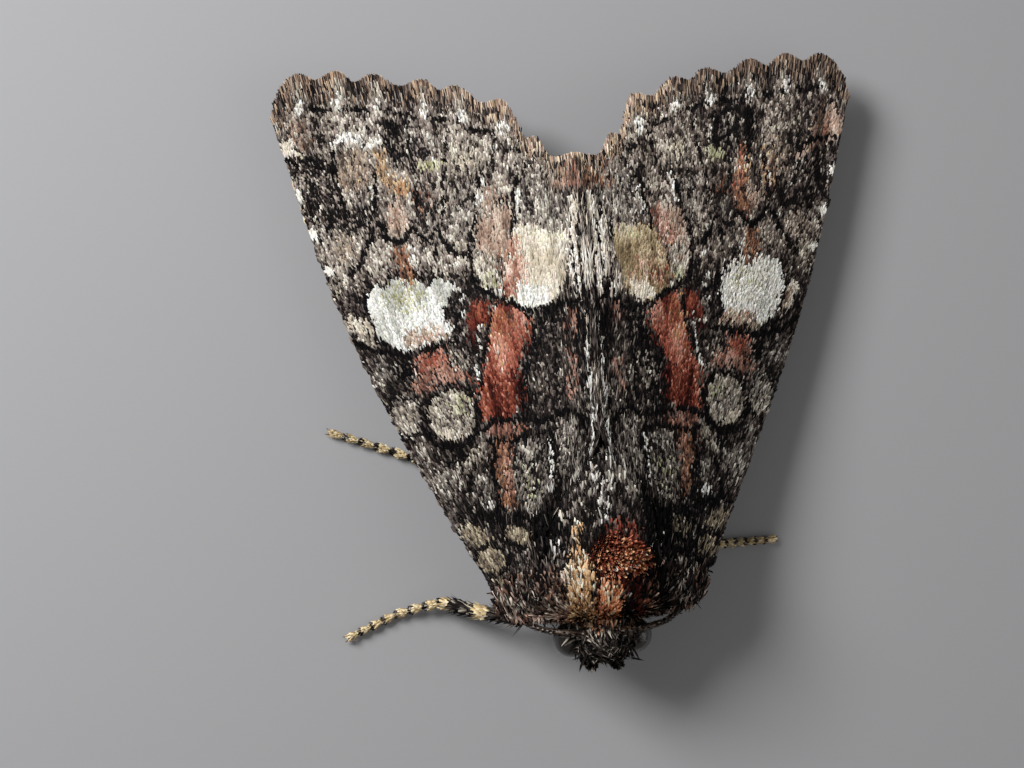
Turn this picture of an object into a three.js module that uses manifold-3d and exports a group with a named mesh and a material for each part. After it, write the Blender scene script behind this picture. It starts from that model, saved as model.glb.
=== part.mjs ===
/**
 * An owlet moth at rest, life size, in millimetres.
 *
 * The head faces -Y, +Z is up, and the feet stand on the plane Z = 0. The origin is on that plane,
 * under the middle of the moth. The forewings close over the body like a low roof: their inner margins
 * meet on the midline, and their costal edges come down near the ground.
 *
 * Every shape starts as a three.js geometry whose vertices a function then moves into place: a box
 * becomes a wing, a sphere becomes a body segment, and a cylinder becomes a leg or a feeler.
 */
import * as THREE from "three";
import { mergeVertices } from "three/addons/utils/BufferGeometryUtils.js";
import Module from "manifold-3d";

const wasm = await Module();
wasm.setup();

// ---------------------------------------------------------------- driving dimensions

const CLEARANCE = 0.05; // between neighbouring solids
const WING_THICKNESS = 0.56; // measured upright: square to the slope it is about half a millimetre
const WING_BASE_Y = -4.9; // where the forewings leave the thorax
const WING_TIP_Y = 6.8; // where the costal edge turns into the apex
const WING_TIP_X = 7.3; // half the width across the wings
const COSTA_BASE_X = 2.75; // half the width across the wing bases
const COSTA_BULGE = 0.55; // how far the costal edge bows outwards
const RIDGE_Z = 3.62; // height of the wings' meeting line, at its highest
const RIDGE_START_Y = -1.5; // from here back the ridge falls towards the tail
const RIDGE_FALL = 0.028; // its fall, per square millimetre of distance
const COSTA_Z = 1.0; // height of the costal edge over most of its length
const COSTA_RISE = 1.4; // how much higher it is at the wing base
const COSTA_RISE_LENGTH = 2.6;
const ROOF_BEND = 0.4; // share of the roof's drop that is curved, not straight

// Outer margin, from the midline to the apex: after the first point, each bulge of the fringe and the
// notch after it in turn.
const MARGIN = [
  [0.06, 5.4], [0.55, 5.5], [0.72, 5.68], [1.12, 5.98], [1.28, 6.28], [1.72, 6.98], [2.22, 6.98], [2.78, 7.38],
  [3.2, 7.34], [3.62, 7.58], [4.18, 7.5], [4.8, 7.78], [5.28, 7.66], [5.74, 7.9], [6.22, 7.76], [6.72, 7.86],
  [7.15, 7.45], [WING_TIP_X, WING_TIP_Y],
].map(([x, y]) => new THREE.Vector2(x, y));
const INNER_GAP = MARGIN[0].x; // half the gap between the two inner margins
const MIDDLE_Y = 0.245; // halfway between palps and fringe, in the Y of the sizes given here

// Hindwing: its root by the thorax, its tail beside the abdomen's end, and its tip. Each bend is the
// point that pulls the edge between two of them into its curve.
const HINDWING = {
  root: new THREE.Vector2(1.42, -2.3),
  innerBend: new THREE.Vector2(1.4, 1.2),
  tail: new THREE.Vector2(0.97, 4.6),
  marginBend: new THREE.Vector2(2.9, 6.5),
  tip: new THREE.Vector2(4.35, 5.0),
  outerBend: new THREE.Vector2(3.3, 0.6),
  baseWidth: 0.7,
};

// Body segments: their ends on Y, half their width, the height of their middle, and how far they
// reach above and below it. A bluntness of 2 makes an ellipsoid, and more makes it squarer.
const THORAX = {
  front: -6.05,
  rear: -1.2,
  halfWidth: 2.4,
  middleZ: 2.35,
  top: 1.62,
  bottom: 1.5,
  bluntness: 3.3,
};
const THORAX_TAPER = 0.45; // share of the width lost towards the rear
const CREST = { y: -4.3, height: 0.62, length: 0.72, halfWidth: 0.72 }; // tuft behind the collar
const ABDOMEN = {
  front: -2.9,
  rear: 5.15,
  halfWidth: 1.32,
  middleZ: 1.72,
  top: 1.33,
  bottom: 1.25,
  bluntness: 2.2,
};
const ABDOMEN_TAPER = 0.42; // share of the width lost towards the tail
const TAIL_DROP = 0.25;
const HEAD = {
  front: -7.14,
  rear: -5.6,
  halfWidth: 0.9,
  middleZ: 2.25,
  top: 0.95,
  bottom: 0.85,
  bluntness: 2.4,
};
const EYE = { x: 0.78, y: -6.46, z: 2.12, radius: 0.47 };

// Limbs are bent round rods. Their points are given on the +X side, which is the moth's own left.
const THIGH_RADIUS = 0.32;
const FOOT_RADIUS = 0.29;
const THIGH_SHARE = 0.6; // share of the leg over which it thins
const FOOT_Z = 0.2; // less than the foot's radius, so the foot stands on a flat
const ANTENNA_BASE_RADIUS = 0.25;
const ANTENNA_TIP_RADIUS = 0.22;
const PALP_BASE_RADIUS = 0.28;
const PALP_TIP_RADIUS = 0.22;

// Hip, knee, ankle, middle of the foot, and toe of each leg.
const LEGS = {
  foreleg_left: [
    [0.6, -4.7, 1.25], [1.9, -5.65, 1.3], [3.0, -4.62, 0.42], [3.95, -4.58, FOOT_Z], [4.95, -4.56, FOOT_Z],
  ],
  foreleg_right: [
    [0.6, -4.7, 1.25], [1.95, -5.95, 1.25], [3.8, -5.58, 0.42], [4.95, -5.8, FOOT_Z], [6.2, -6.3, FOOT_Z],
  ],
  midleg_left: [
    [0.8, -3.4, 1.1], [2.2, -2.75, 0.98], [3.4, -1.9, 0.4], [4.35, -1.05, FOOT_Z], [5.2, -0.35, FOOT_Z],
  ],
  midleg_right: [
    [0.8, -3.4, 1.1], [2.2, -2.9, 0.98], [3.4, -2.2, 0.4], [4.85, -1.64, FOOT_Z], [6.35, -1.08, FOOT_Z],
  ],
  hindleg_left: [
    [0.8, -2.5, 1.0], [2.2, -0.9, 0.98], [3.4, 1.0, 0.4], [4.4, 2.3, FOOT_Z], [5.3, 3.5, FOOT_Z],
  ],
  hindleg_right: [
    [0.8, -2.5, 1.0], [2.2, -0.9, 0.98], [3.5, 0.8, 0.4], [4.8, 1.85, FOOT_Z], [6.0, 2.6, FOOT_Z],
  ],
};

// Each feeler leaves the top of the head, passes behind the eye and lies back under the forewing.
const ANTENNA = [
  [0.4, -6.3, 2.95], [1.0, -6.2, 2.85], [1.65, -6.08, 2.45], [2.25, -5.68, 2.0], [2.64, -5.0, 1.62],
  [2.72, -4.3, 1.42], [2.85, -3.3, 1.28], [3.1, -2.2, 1.16], [3.45, -1.1, 1.08], [3.9, 0.1, 1.0],
];
const PALP = [[0.3, -6.5, 1.35], [0.31, -7.0, 1.5], [0.32, -7.2, 2.2]];

// ---------------------------------------------------------------- materials

const scaled = (color) => new THREE.MeshStandardMaterial({ color, roughness: 0.85, metalness: 0 });
const forewingFinish = scaled(0x6b625c);
const hindwingFinish = scaled(0x8a7d70);
const furFinish = scaled(0x4a403a);
const crestFinish = scaled(0x6e3a22);
const legFinish = scaled(0x3b332d);
const antennaFinish = scaled(0x57493c);
const eyeFinish = new THREE.MeshStandardMaterial({ color: 0x15100c, roughness: 0.2, metalness: 0 });

// ---------------------------------------------------------------- geometry helpers

/** Moves every vertex of a geometry: place(point) changes the point it is given. */
function reshape(geometry, place) {
  const position = geometry.getAttribute("position");
  const point = new THREE.Vector3();
  for (let i = 0; i < position.count; i++) {
    point.fromBufferAttribute(position, i);
    place(point);
    position.setXYZ(i, point.x, point.y, point.z);
  }
  return geometry;
}

/** The same shape on the other side of the midline. */
function mirrored(geometry) {
  const twin = geometry.clone().applyMatrix4(new THREE.Matrix4().makeScale(-1, 1, 1));
  const index = twin.getIndex().array;
  for (let i = 0; i < index.length; i += 3) {
    [index[i + 1], index[i + 2]] = [index[i + 2], index[i + 1]];
  }
  return twin;
}

/** A geometry as a solid that can be cut. */
function solidOf(geometry) {
  const bare = geometry.clone();
  bare.deleteAttribute("normal");
  bare.deleteAttribute("uv");
  const merged = mergeVertices(bare, 1e-4);
  return new wasm.Manifold(
    new wasm.Mesh({
      numProp: 3,
      vertProperties: new Float32Array(merged.getAttribute("position").array),
      triVerts: new Uint32Array(merged.getIndex().array),
    }),
  );
}

/** A geometry with the space of each of the others taken out of it. */
function carve(geometry, ...others) {
  let solid = solidOf(geometry);
  for (const other of others) solid = solid.subtract(solidOf(other));
  const pieces = solid.decompose().sort((a, b) => b.volume() - a.volume());
  const mesh = pieces[0].getMesh();
  return new THREE.BufferGeometry()
    .setAttribute("position", new THREE.BufferAttribute(new Float32Array(mesh.vertProperties), 3))
    .setIndex(new THREE.BufferAttribute(new Uint32Array(mesh.triVerts), 1));
}

// ---------------------------------------------------------------- the wing surface

/** Distance of the costal edge from the midline. */
function costaX(y) {
  const share = (y - WING_BASE_Y) / (WING_TIP_Y - WING_BASE_Y);
  const straight = THREE.MathUtils.lerp(COSTA_BASE_X, WING_TIP_X, share);
  return straight + COSTA_BULGE * Math.sin(Math.PI * THREE.MathUtils.clamp(share, 0, 1));
}

const ridgeZ = (y) => RIDGE_Z - RIDGE_FALL * Math.max(0, y - RIDGE_START_Y) ** 2;
const costaZ = (y) => COSTA_Z + COSTA_RISE * Math.exp(-(y - WING_BASE_Y) / COSTA_RISE_LENGTH);

/** Height of the middle of the forewing's thickness over a point of the ground. */
function roofZ(x, y) {
  const across = Math.abs(x) / costaX(y);
  const drop = (1 - ROOF_BEND) * across + ROOF_BEND * across * across;
  return ridgeZ(y) - (ridgeZ(y) - costaZ(y)) * drop;
}

const quadratic = (a, b, c, t) => new THREE.QuadraticBezierCurve(a, b, c).getPoint(t);

/** The outer margin with its scallops: t is 0 at the midline and 1 at the apex. */
const outerMargin = (t) => new THREE.SplineCurve(MARGIN).getPoint(t);

/** The inner margin: beside the thorax first, then along the midline to the wing's hind corner. */
function innerMargin(s) {
  const y = THREE.MathUtils.lerp(WING_BASE_Y, MARGIN[0].y, s);
  const besideThorax = 1.5 * THREE.MathUtils.smoothstep(-y, 1.3, 4.2);
  return new THREE.Vector2(INNER_GAP + besideThorax, y);
}

function costalMargin(s) {
  const y = THREE.MathUtils.lerp(WING_BASE_Y, WING_TIP_Y, s);
  return new THREE.Vector2(costaX(y), y);
}

/** A point of a four-sided patch: s runs from its first end to its last, t from its inner side outwards. */
function patch(inner, outer, first, last, s, t) {
  const sides = inner(s).multiplyScalar(1 - t).addScaledVector(outer(s), t);
  const ends = first(t).multiplyScalar(1 - s).addScaledVector(last(t), s);
  const corners = inner(0)
    .multiplyScalar((1 - s) * (1 - t))
    .addScaledVector(outer(0), (1 - s) * t)
    .addScaledVector(inner(1), s * (1 - t))
    .addScaledVector(outer(1), s * t);
  return sides.add(ends).sub(corners);
}

/** A plate over a patch of ground, its middle at the height that the function gives. */
function plate(spot, heightOf, thickness, alongSteps, acrossSteps) {
  const box = new THREE.BoxGeometry(1, 1, 1, acrossSteps, alongSteps, 1);
  return reshape(box, (p) => {
    const flat = spot(p.y + 0.5, p.x + 0.5);
    p.set(flat.x, flat.y, heightOf(flat.x, flat.y) + p.z * thickness);
  });
}

function forewingShape() {
  const base = (t) => innerMargin(0).lerp(costalMargin(0), t);
  const spot = (s, t) => patch(innerMargin, costalMargin, base, outerMargin, s, t);
  return plate(spot, roofZ, WING_THICKNESS, 12, 34);
}

/** The hindwing is folded flat under the forewing, beside the abdomen. */
function hindwingShape() {
  const { root, tail, tip, innerBend, outerBend, marginBend, baseWidth } = HINDWING;
  const shoulder = root.clone().setX(root.x + baseWidth);
  const inner = (s) => quadratic(root, innerBend, tail, s);
  const outer = (s) => quadratic(shoulder, outerBend, tip, s);
  const first = (t) => root.clone().lerp(shoulder, t);
  const last = (t) => quadratic(tail, marginBend, tip, t);
  const spot = (s, t) => patch(inner, outer, first, last, s, t);
  const under = (x, y) => roofZ(x, y) - WING_THICKNESS - CLEARANCE;
  return plate(spot, under, WING_THICKNESS, 10, 8);
}

// ---------------------------------------------------------------- the body

/** A body segment: a sphere drawn out along Y, its ends blunted, with its own width, top and bottom. */
function segment(size, around, along, shape = () => {}, swell = 0) {
  const { front, rear, halfWidth, middleZ, top, bottom, bluntness } = size;
  const half = (rear - front) / 2 + swell;
  return reshape(new THREE.SphereGeometry(1, around, along), (p) => {
    const ring = Math.hypot(p.x, p.z);
    const widen = ring > 0 ? ring ** (2 / bluntness) / ring : 0;
    const y = Math.sign(p.y) * Math.abs(p.y) ** (2 / bluntness);
    const z = p.z * widen * ((p.z > 0 ? top : bottom) + swell);
    p.set(p.x * widen * (halfWidth + swell), (front + rear) / 2 + y * half, z);
    shape(p, (y + 1) / 2);
    p.z += middleZ;
  });
}

function shapeThorax(p, share) {
  p.x *= 1 - THORAX_TAPER * share * share;
  if (p.z <= 0) return;
  const along = Math.exp(-(((p.y - CREST.y) / CREST.length) ** 2));
  const across = Math.exp(-((p.x / CREST.halfWidth) ** 2));
  p.z += CREST.height * along * across;
}

function shapeAbdomen(p, share) {
  const keep = 1 - ABDOMEN_TAPER * share * share;
  p.x *= keep;
  p.z = p.z * keep - TAIL_DROP * share * share;
}

const thoraxShape = (swell = 0) => segment(THORAX, 26, 18, shapeThorax, swell);
const abdomenShape = (swell = 0) => segment(ABDOMEN, 18, 14, shapeAbdomen, swell);
const headShape = (swell = 0) => segment(HEAD, 16, 10, undefined, swell);
const eyeShape = (swell = 0) =>
  new THREE.SphereGeometry(EYE.radius + swell, 14, 10).translate(EYE.x, EYE.y, EYE.z);

// ---------------------------------------------------------------- legs and feelers

const UP = new THREE.Vector3(0, 0, 1);

/** A limb along a bent line, its radius given at each share of its length, flattened by the ground. */
function limb(points, radiusAt, sides, steps, bend = 0.25) {
  const knots = points.map((p) => new THREE.Vector3(...p));
  const line = new THREE.CatmullRomCurve3(knots, false, "catmullrom", bend);
  return reshape(new THREE.CylinderGeometry(1, 1, 1, sides, steps), (p) => {
    const share = THREE.MathUtils.clamp(p.y + 0.5, 0, 1);
    const radius = radiusAt(share);
    const ahead = line.getTangentAt(share);
    const aside = ahead.clone().cross(UP).normalize();
    const above = aside.clone().cross(ahead);
    const { x, z } = p;
    p.copy(line.getPointAt(share)).addScaledVector(above, z * radius).addScaledVector(aside, x * radius);
    p.z = Math.max(p.z, 0);
  });
}

const { lerp } = THREE.MathUtils;
const legRadius = (share) => lerp(THIGH_RADIUS, FOOT_RADIUS, Math.min(1, share / THIGH_SHARE));
const antennaRadius = (share) => lerp(ANTENNA_BASE_RADIUS, ANTENNA_TIP_RADIUS, share);
const palpRadius = (share) => lerp(PALP_BASE_RADIUS, PALP_TIP_RADIUS, share);

// ---------------------------------------------------------------- the moth

const moth = new THREE.Group();

/** Adds a node, moved so that the origin is under the middle of the moth's length. */
function add(name, geometry, material) {
  const mesh = new THREE.Mesh(geometry.clone().translate(0, -MIDDLE_Y, 0), material);
  mesh.name = name;
  moth.add(mesh);
}

const thoraxRoom = thoraxShape(CLEARANCE);
const headRoom = headShape(CLEARANCE);
const abdomenRoom = abdomenShape(CLEARANCE);
const forewing = carve(forewingShape(), thoraxRoom);
const hindwing = carve(hindwingShape(), thoraxRoom, abdomenRoom);
const eyeRoom = eyeShape(CLEARANCE);

add("thorax", thoraxShape(), crestFinish);
add("abdomen", carve(abdomenShape(), thoraxRoom), furFinish);
add("head", carve(headShape(), thoraxRoom, eyeRoom, mirrored(eyeRoom)), furFinish);

const sideOf = { left: (geometry) => geometry, right: mirrored };

for (const [side, placed] of Object.entries(sideOf)) {
  add(`forewing_${side}`, placed(forewing), forewingFinish);
  add(`hindwing_${side}`, placed(hindwing), hindwingFinish);
  add(`eye_${side}`, placed(eyeShape()), eyeFinish);
  const palp = carve(limb(PALP, palpRadius, 8, 6), headRoom);
  add(`palp_${side}`, placed(palp), furFinish);
  const antenna = carve(limb(ANTENNA, antennaRadius, 8, 14, 0.5), headRoom, eyeRoom, thoraxRoom);
  add(`antenna_${side}`, placed(antenna), antennaFinish);
}

for (const [name, joints] of Object.entries(LEGS)) {
  const side = name.split("_")[1];
  const leg = carve(limb(joints, legRadius, 8, 14), thoraxRoom);
  add(name, sideOf[side](leg), legFinish);
}

export default moth;
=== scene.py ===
"""Owlet moth at rest: a still, life-size model with its wings closed like a low roof.

The head faces -Y, +Z is up and the feet stand on the plane Z = 0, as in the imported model. Shapes are
worked out in millimetres, and each mesh is turned to metres when it becomes a piece. A skin gives the
body its form. Small closed plates, one for each scale, and slim locks of hair lie over it in rows.
"""

import logging
import math
from collections.abc import Callable, Iterable
from dataclasses import dataclass
from enum import Enum

import bmesh
import bpy
import numpy as np
from mathutils import Matrix, Vector

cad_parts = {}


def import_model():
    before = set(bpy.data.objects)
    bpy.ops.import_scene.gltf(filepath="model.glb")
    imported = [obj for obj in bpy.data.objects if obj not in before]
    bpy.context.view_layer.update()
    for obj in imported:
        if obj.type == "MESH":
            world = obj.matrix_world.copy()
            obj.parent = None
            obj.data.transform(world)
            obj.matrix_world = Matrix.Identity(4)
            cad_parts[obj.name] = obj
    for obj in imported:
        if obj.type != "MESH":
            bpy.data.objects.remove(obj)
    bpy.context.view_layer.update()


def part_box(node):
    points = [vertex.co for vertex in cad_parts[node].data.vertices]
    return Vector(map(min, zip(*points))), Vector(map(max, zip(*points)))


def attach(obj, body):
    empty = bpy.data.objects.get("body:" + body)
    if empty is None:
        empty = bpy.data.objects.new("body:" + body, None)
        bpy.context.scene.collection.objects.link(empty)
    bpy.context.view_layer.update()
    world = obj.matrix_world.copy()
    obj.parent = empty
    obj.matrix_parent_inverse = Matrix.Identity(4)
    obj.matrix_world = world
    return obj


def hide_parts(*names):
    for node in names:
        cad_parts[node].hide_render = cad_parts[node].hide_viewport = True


Array = np.ndarray
Values = np.ndarray | float
Spot = tuple[float, float]
Place = tuple[float, float, float]
Curve = Callable[[Array], Array]
Random = np.random.Generator
BMesh = bmesh.types.BMesh
Material = bpy.types.Material
Mesh = bpy.types.Mesh
NodeTree = bpy.types.NodeTree
Socket = bpy.types.NodeSocket

METRES = 0.001  # one millimetre
BAKE_MAP = "OFBake"
PATCH = 0.003  # how wide a tuft's patch is on the bake map
EYE_CENTRE: Place = (0.78, -6.46, 2.12)
EYE_RADIUS = 0.47
MEMBRANE = 0.05  # thickness of a wing's skin, in mm
PALEST = 0.93  # no scale throws back more of the light than this
GOLDEN_TURN = 2.399963  # radians: roots turned by this much each time never line up
TURN = 2 * np.pi
UP = np.array((0.0, 0.0, 1.0))
TAILWARD = np.array((0.0, 1.0, 0.0))

log = logging.getLogger("moth")


class Side(Enum):
    """The moth's own left and right, as the sign of X."""

    LEFT = 1
    RIGHT = -1

    @property
    def word(self) -> str:
        """Name ending of this side's pieces."""
        return self.name.lower()


LEFT, RIGHT = Side


# ---- numbers and noise


def unit(vectors: Array) -> Array:
    """Brings vectors, which lie along the last axis, to length one."""
    return vectors / np.maximum(np.linalg.norm(vectors, axis=-1, keepdims=True), 1e-9)


def smooth_step(value: Values, start: float, end: float) -> Array:
    """Rises smoothly from 0 at start to 1 at end."""
    share = np.clip((np.asarray(value, float) - start) / (end - start), 0.0, 1.0)
    return share * share * (3.0 - 2.0 * share)


def blend(first: Values, last: Values, share: Values) -> Array:
    """Mixes two values: all first at share 0, all last at share 1."""
    return first + (last - first) * share


def quadratic(start: Array, bend: Array, end: Array, share: Array) -> Array:
    """Follows a curve from start to end that is pulled towards the bend."""
    along = np.asarray(share, float)[..., None]
    return (1 - along) ** 2 * start + 2 * along * (1 - along) * bend + along**2 * end


def hermite(start: Array, leave: Array, end: Array, arrive: Array, along: Array) -> Array:
    """Follows a curve between two points that leaves and arrives with the given slopes."""
    square, cube = along**2, along**3
    return (
        (2 * cube - 3 * square + 1) * start + (cube - 2 * square + along) * leave
        + (3 * square - 2 * cube) * end + (cube - square) * arrive
    )


def through(knots: Array, share: Array) -> Array:
    """Follows a smooth curve through knots, each stretch between two of them taking an equal share.

    Args:
        knots: The points that the curve passes.
        share: How far along.

    Returns:
        One point for each share.
    """
    where = np.clip(np.asarray(share, float), 0, 1) * (len(knots) - 1)
    lower = np.minimum(where.astype(int), len(knots) - 2)
    start, end = knots[lower], knots[lower + 1]
    leave = (end - knots[np.maximum(lower - 1, 0)]) / 2
    arrive = (knots[np.minimum(lower + 2, len(knots) - 1)] - start) / 2
    return hermite(start, leave, end, arrive, (where - lower)[..., None])


def hashed(column: Array, row: Array, seed: int) -> Array:
    """Gives each whole-numbered cell its own fixed value.

    Args:
        column: Cell numbers across.
        row: Cell numbers along.
        seed: Picks another set of values.

    Returns:
        Values from 0 to 1.
    """
    low_bits = 0xFFFFFFFF
    mixed = (column * 374761393 + row * 668265263 + seed * 362437) & low_bits
    mixed = ((mixed ^ (mixed >> 13)) * 1274126177) & low_bits
    return ((mixed ^ (mixed >> 16)) & 0xFFFF) / 65535.0


def cloud(x: Array, y: Array, wide: float, long: float, seed: int) -> Array:
    """Reads smooth noise.

    Args:
        x: Places across, in mm.
        y: Places along, in mm.
        wide: Size of its blotches across, in mm.
        long: Their size along, in mm.
        seed: Picks another noise.

    Returns:
        Values from 0 to 1.
    """
    across, along = x / wide, y / long
    column, row = np.floor(across).astype(np.int64), np.floor(along).astype(np.int64)
    share_x, share_y = smooth_step(across - column, 0, 1), smooth_step(along - row, 0, 1)
    near = blend(hashed(column, row, seed), hashed(column + 1, row, seed), share_x)
    far = blend(hashed(column, row + 1, seed), hashed(column + 1, row + 1, seed), share_x)
    return blend(near, far, share_y)


def evened(values: Array) -> Array:
    """Spreads values evenly from 0 to 1 and keeps their order."""
    order = np.argsort(np.argsort(values, kind="stable"), kind="stable")
    return (order + 0.5) / max(len(values), 1)


def linear(colour: str) -> Array:
    """Turns an sRGB hex colour to linear red, green and blue."""
    encoded = np.array([int(colour[i : i + 2], 16) / 255.0 for i in (1, 3, 5)])
    return np.where(encoded <= 0.04045, encoded / 12.92, ((encoded + 0.055) / 1.055) ** 2.4)


def linear_rgba(colour: str) -> tuple[float, ...]:
    """Turns an sRGB hex colour to the four values that a colour socket takes."""
    return (*linear(colour), 1.0)


# ---- finishes


def add_node(tree: NodeTree, kind: str, links: dict | None = None, **settings: object) -> bpy.types.Node:
    """Adds one node with its settings and links.

    Args:
        tree: The node tree.
        kind: The node's type name.
        links: Output sockets by the name or number of the input that each goes to.
        settings: Input values, by name with _ for spaces, and properties.

    Returns:
        The new node.
    """
    node = tree.nodes.new(kind)
    for name, value in settings.items():
        socket = node.inputs.get(name.replace("_", " "))
        if socket is None or hasattr(node, name):
            setattr(node, name, value)
        else:
            socket.default_value = value
    for socket, source in (links or {}).items():
        tree.links.new(source, node.inputs[socket])
    return node


def open_material(name: str) -> tuple[Material, NodeTree, Socket]:
    """Starts a material.

    Args:
        name: Its name.

    Returns:
        The material, its node tree and the socket with the places on the piece.
    """
    material = bpy.data.materials.new(name)
    material.use_nodes = True
    tree = material.node_tree
    tree.nodes.clear()
    return material, tree, add_node(tree, "ShaderNodeTexCoord").outputs["Object"]


def drifting_tint(tree: NodeTree, place: Socket, size_mm: float, detail: float, change: float) -> Socket:
    """Adds a soft mottle that makes a colour drift.

    Args:
        tree: The node tree.
        place: The places on the piece.
        size_mm: Size of a blotch.
        detail: Depth of the mottle's detail.
        change: How far the colour drifts each way, as a share.

    Returns:
        The factor for the colour.
    """
    settings = {"Scale": 1 / (size_mm * METRES), "Detail": detail, "Roughness": 0.6}
    mottle = add_node(tree, "ShaderNodeTexNoise", {"Vector": place}, **settings)
    limits = {"From_Min": 0.3, "From_Max": 0.7, "To_Min": 1 - change, "To_Max": 1 + change}
    tint = add_node(tree, "ShaderNodeMapRange", {"Value": mottle.outputs["Fac"]}, **limits)
    return tint.outputs["Result"]


def close_material(
    tree: NodeTree, height: Socket, strength: float, depth_mm: float, links: dict, **settings: object
) -> None:
    """Ends a material with its relief and its shader.

    Args:
        tree: The node tree.
        height: The relief.
        strength: How much of it shows.
        depth_mm: Its depth.
        links: The shader's other links.
        settings: The shader's settings.
    """
    relief = {"Strength": strength, "Distance": depth_mm * METRES}
    bump = add_node(tree, "ShaderNodeBump", {"Height": height}, **relief)
    links = links | {"Normal": bump.outputs["Normal"]}
    shader = add_node(tree, "ShaderNodeBsdfPrincipled", links, **settings)
    add_node(tree, "ShaderNodeOutputMaterial", {"Surface": shader.outputs[0]})


@dataclass(frozen=True)
class ScaleFinish:
    """Dry chitin scales: matt and dusty, and their ridges catch a little light along each scale."""

    name: str
    roughness: float = 0.62
    ridge_mm: float = 0.018  # real ridges are 0.002 mm apart: drawn coarser, so that they show close up
    specular: float = 0.05  # the ridges break the shine up, so far less comes back than from plain chitin
    ridge_depth_mm: float = 0.004
    root_shade: float = 0.32  # painted shade: how dark a scale is towards its root, where the ones above it cover it
    tint_change: float = 0.12

    def build(self) -> Material:
        """Builds the material.

        Returns:
            The material, which reads each scale's own pigment and how far along it a point is.
        """
        material, tree, place = open_material(self.name)
        pigment = add_node(tree, "ShaderNodeAttribute", attribute_name="pigment").outputs["Color"]
        reach = add_node(tree, "ShaderNodeAttribute", attribute_name="reach").outputs["Fac"]
        tint = drifting_tint(tree, place, 0.06, 2.0, self.tint_change)
        # painted shade: each scale is darkened towards its root, where the ones above it cover it
        limits = {"From_Min": 0.1, "From_Max": 0.75, "To_Min": 1 - self.root_shade, "To_Max": 1.0}
        cover = add_node(tree, "ShaderNodeMapRange", {"Value": reach}, **limits).outputs["Result"]
        depth = add_node(tree, "ShaderNodeMath", {0: tint, 1: cover}, operation="MULTIPLY").outputs[0]
        colour = add_node(tree, "ShaderNodeVectorMath", {0: pigment, "Scale": depth}, operation="SCALE")
        fine = 1 / (self.ridge_mm * METRES)
        ridges = add_node(tree, "ShaderNodeTexNoise", {"Vector": place}, Scale=fine, Detail=1.0)
        close_material(
            tree, ridges.outputs["Fac"], 0.5, self.ridge_depth_mm, {"Base Color": colour.outputs[0]},
            Roughness=self.roughness, Specular_IOR_Level=self.specular, IOR=1.56,
        )
        return material


@dataclass(frozen=True)
class ChitinFinish:
    """Hardened chitin, smooth and a little waxy, with fine pits: it shows between the scales."""

    name: str
    colour: str = ""  # sRGB hex; empty reads the piece's own pigment
    roughness: float = 0.42
    pit_mm: float = 0.05
    pit_depth_mm: float = 0.008
    tint_change: float = 0.2
    coat: float = 0.0

    def build(self) -> Material:
        """Builds the material.

        Returns:
            The material.
        """
        material, tree, place = open_material(self.name)
        tint = drifting_tint(tree, place, 0.25, 3.0, self.tint_change)
        colour = add_node(tree, "ShaderNodeVectorMath", {"Scale": tint}, operation="SCALE")
        if self.colour:
            colour.inputs[0].default_value = linear_rgba(self.colour)[:3]
        else:
            pigment = add_node(tree, "ShaderNodeAttribute", attribute_name="pigment")
            tree.links.new(pigment.outputs["Color"], colour.inputs[0])
        pits = add_node(tree, "ShaderNodeTexVoronoi", {"Vector": place}, Scale=1 / (self.pit_mm * METRES))
        close_material(
            tree, pits.outputs["Distance"], 0.7, self.pit_depth_mm, {"Base Color": colour.outputs[0]},
            Roughness=self.roughness, IOR=1.56, Coat_Weight=self.coat, Coat_Roughness=0.12,
        )
        return material


@dataclass(frozen=True)
class CardFinish:
    """Matt grey card for the floor: even, with the faintest tooth."""

    name: str = "floor_card"
    colour: str = "#9c9c9e"

    def build(self) -> Material:
        """Builds the material.

        Returns:
            The material.
        """
        material, tree, place = open_material(self.name)
        tooth = add_node(tree, "ShaderNodeTexNoise", {"Vector": place}, Scale=1 / (0.3 * METRES), Detail=3.0)
        close_material(
            tree, tooth.outputs["Fac"], 0.15, 0.01, {},
            Base_Color=linear_rgba(self.colour), Roughness=0.9, Specular_IOR_Level=0.2,
        )
        return material


# ---- markings


@dataclass(frozen=True)
class Mix:
    """Colours of scales that lie together, from the darkest to the palest, and the percentage of each."""

    colours: str
    shares: tuple[int, ...]
    grain: float = 1.0  # 0: the colours drift softly; 1: as salt and pepper; 2: in long thin lines

    def pick(self, chance: Array) -> Array:
        """Gives each scale a colour of the mix.

        Args:
            chance: An even value from 0 to 1 for each scale.

        Returns:
            Linear colours.
        """
        limits = np.cumsum(np.array(self.shares) / 100)
        limits = limits / limits[-1]
        shades = np.array([linear(colour) for colour in self.colours.split()])
        if self.grain > 0.5:
            return shades[np.minimum(np.searchsorted(limits, chance), len(shades) - 1)]
        middles = limits - np.diff(limits, prepend=0) / 2
        return np.column_stack([np.interp(chance, middles, shades[:, part]) for part in range(3)])


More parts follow.
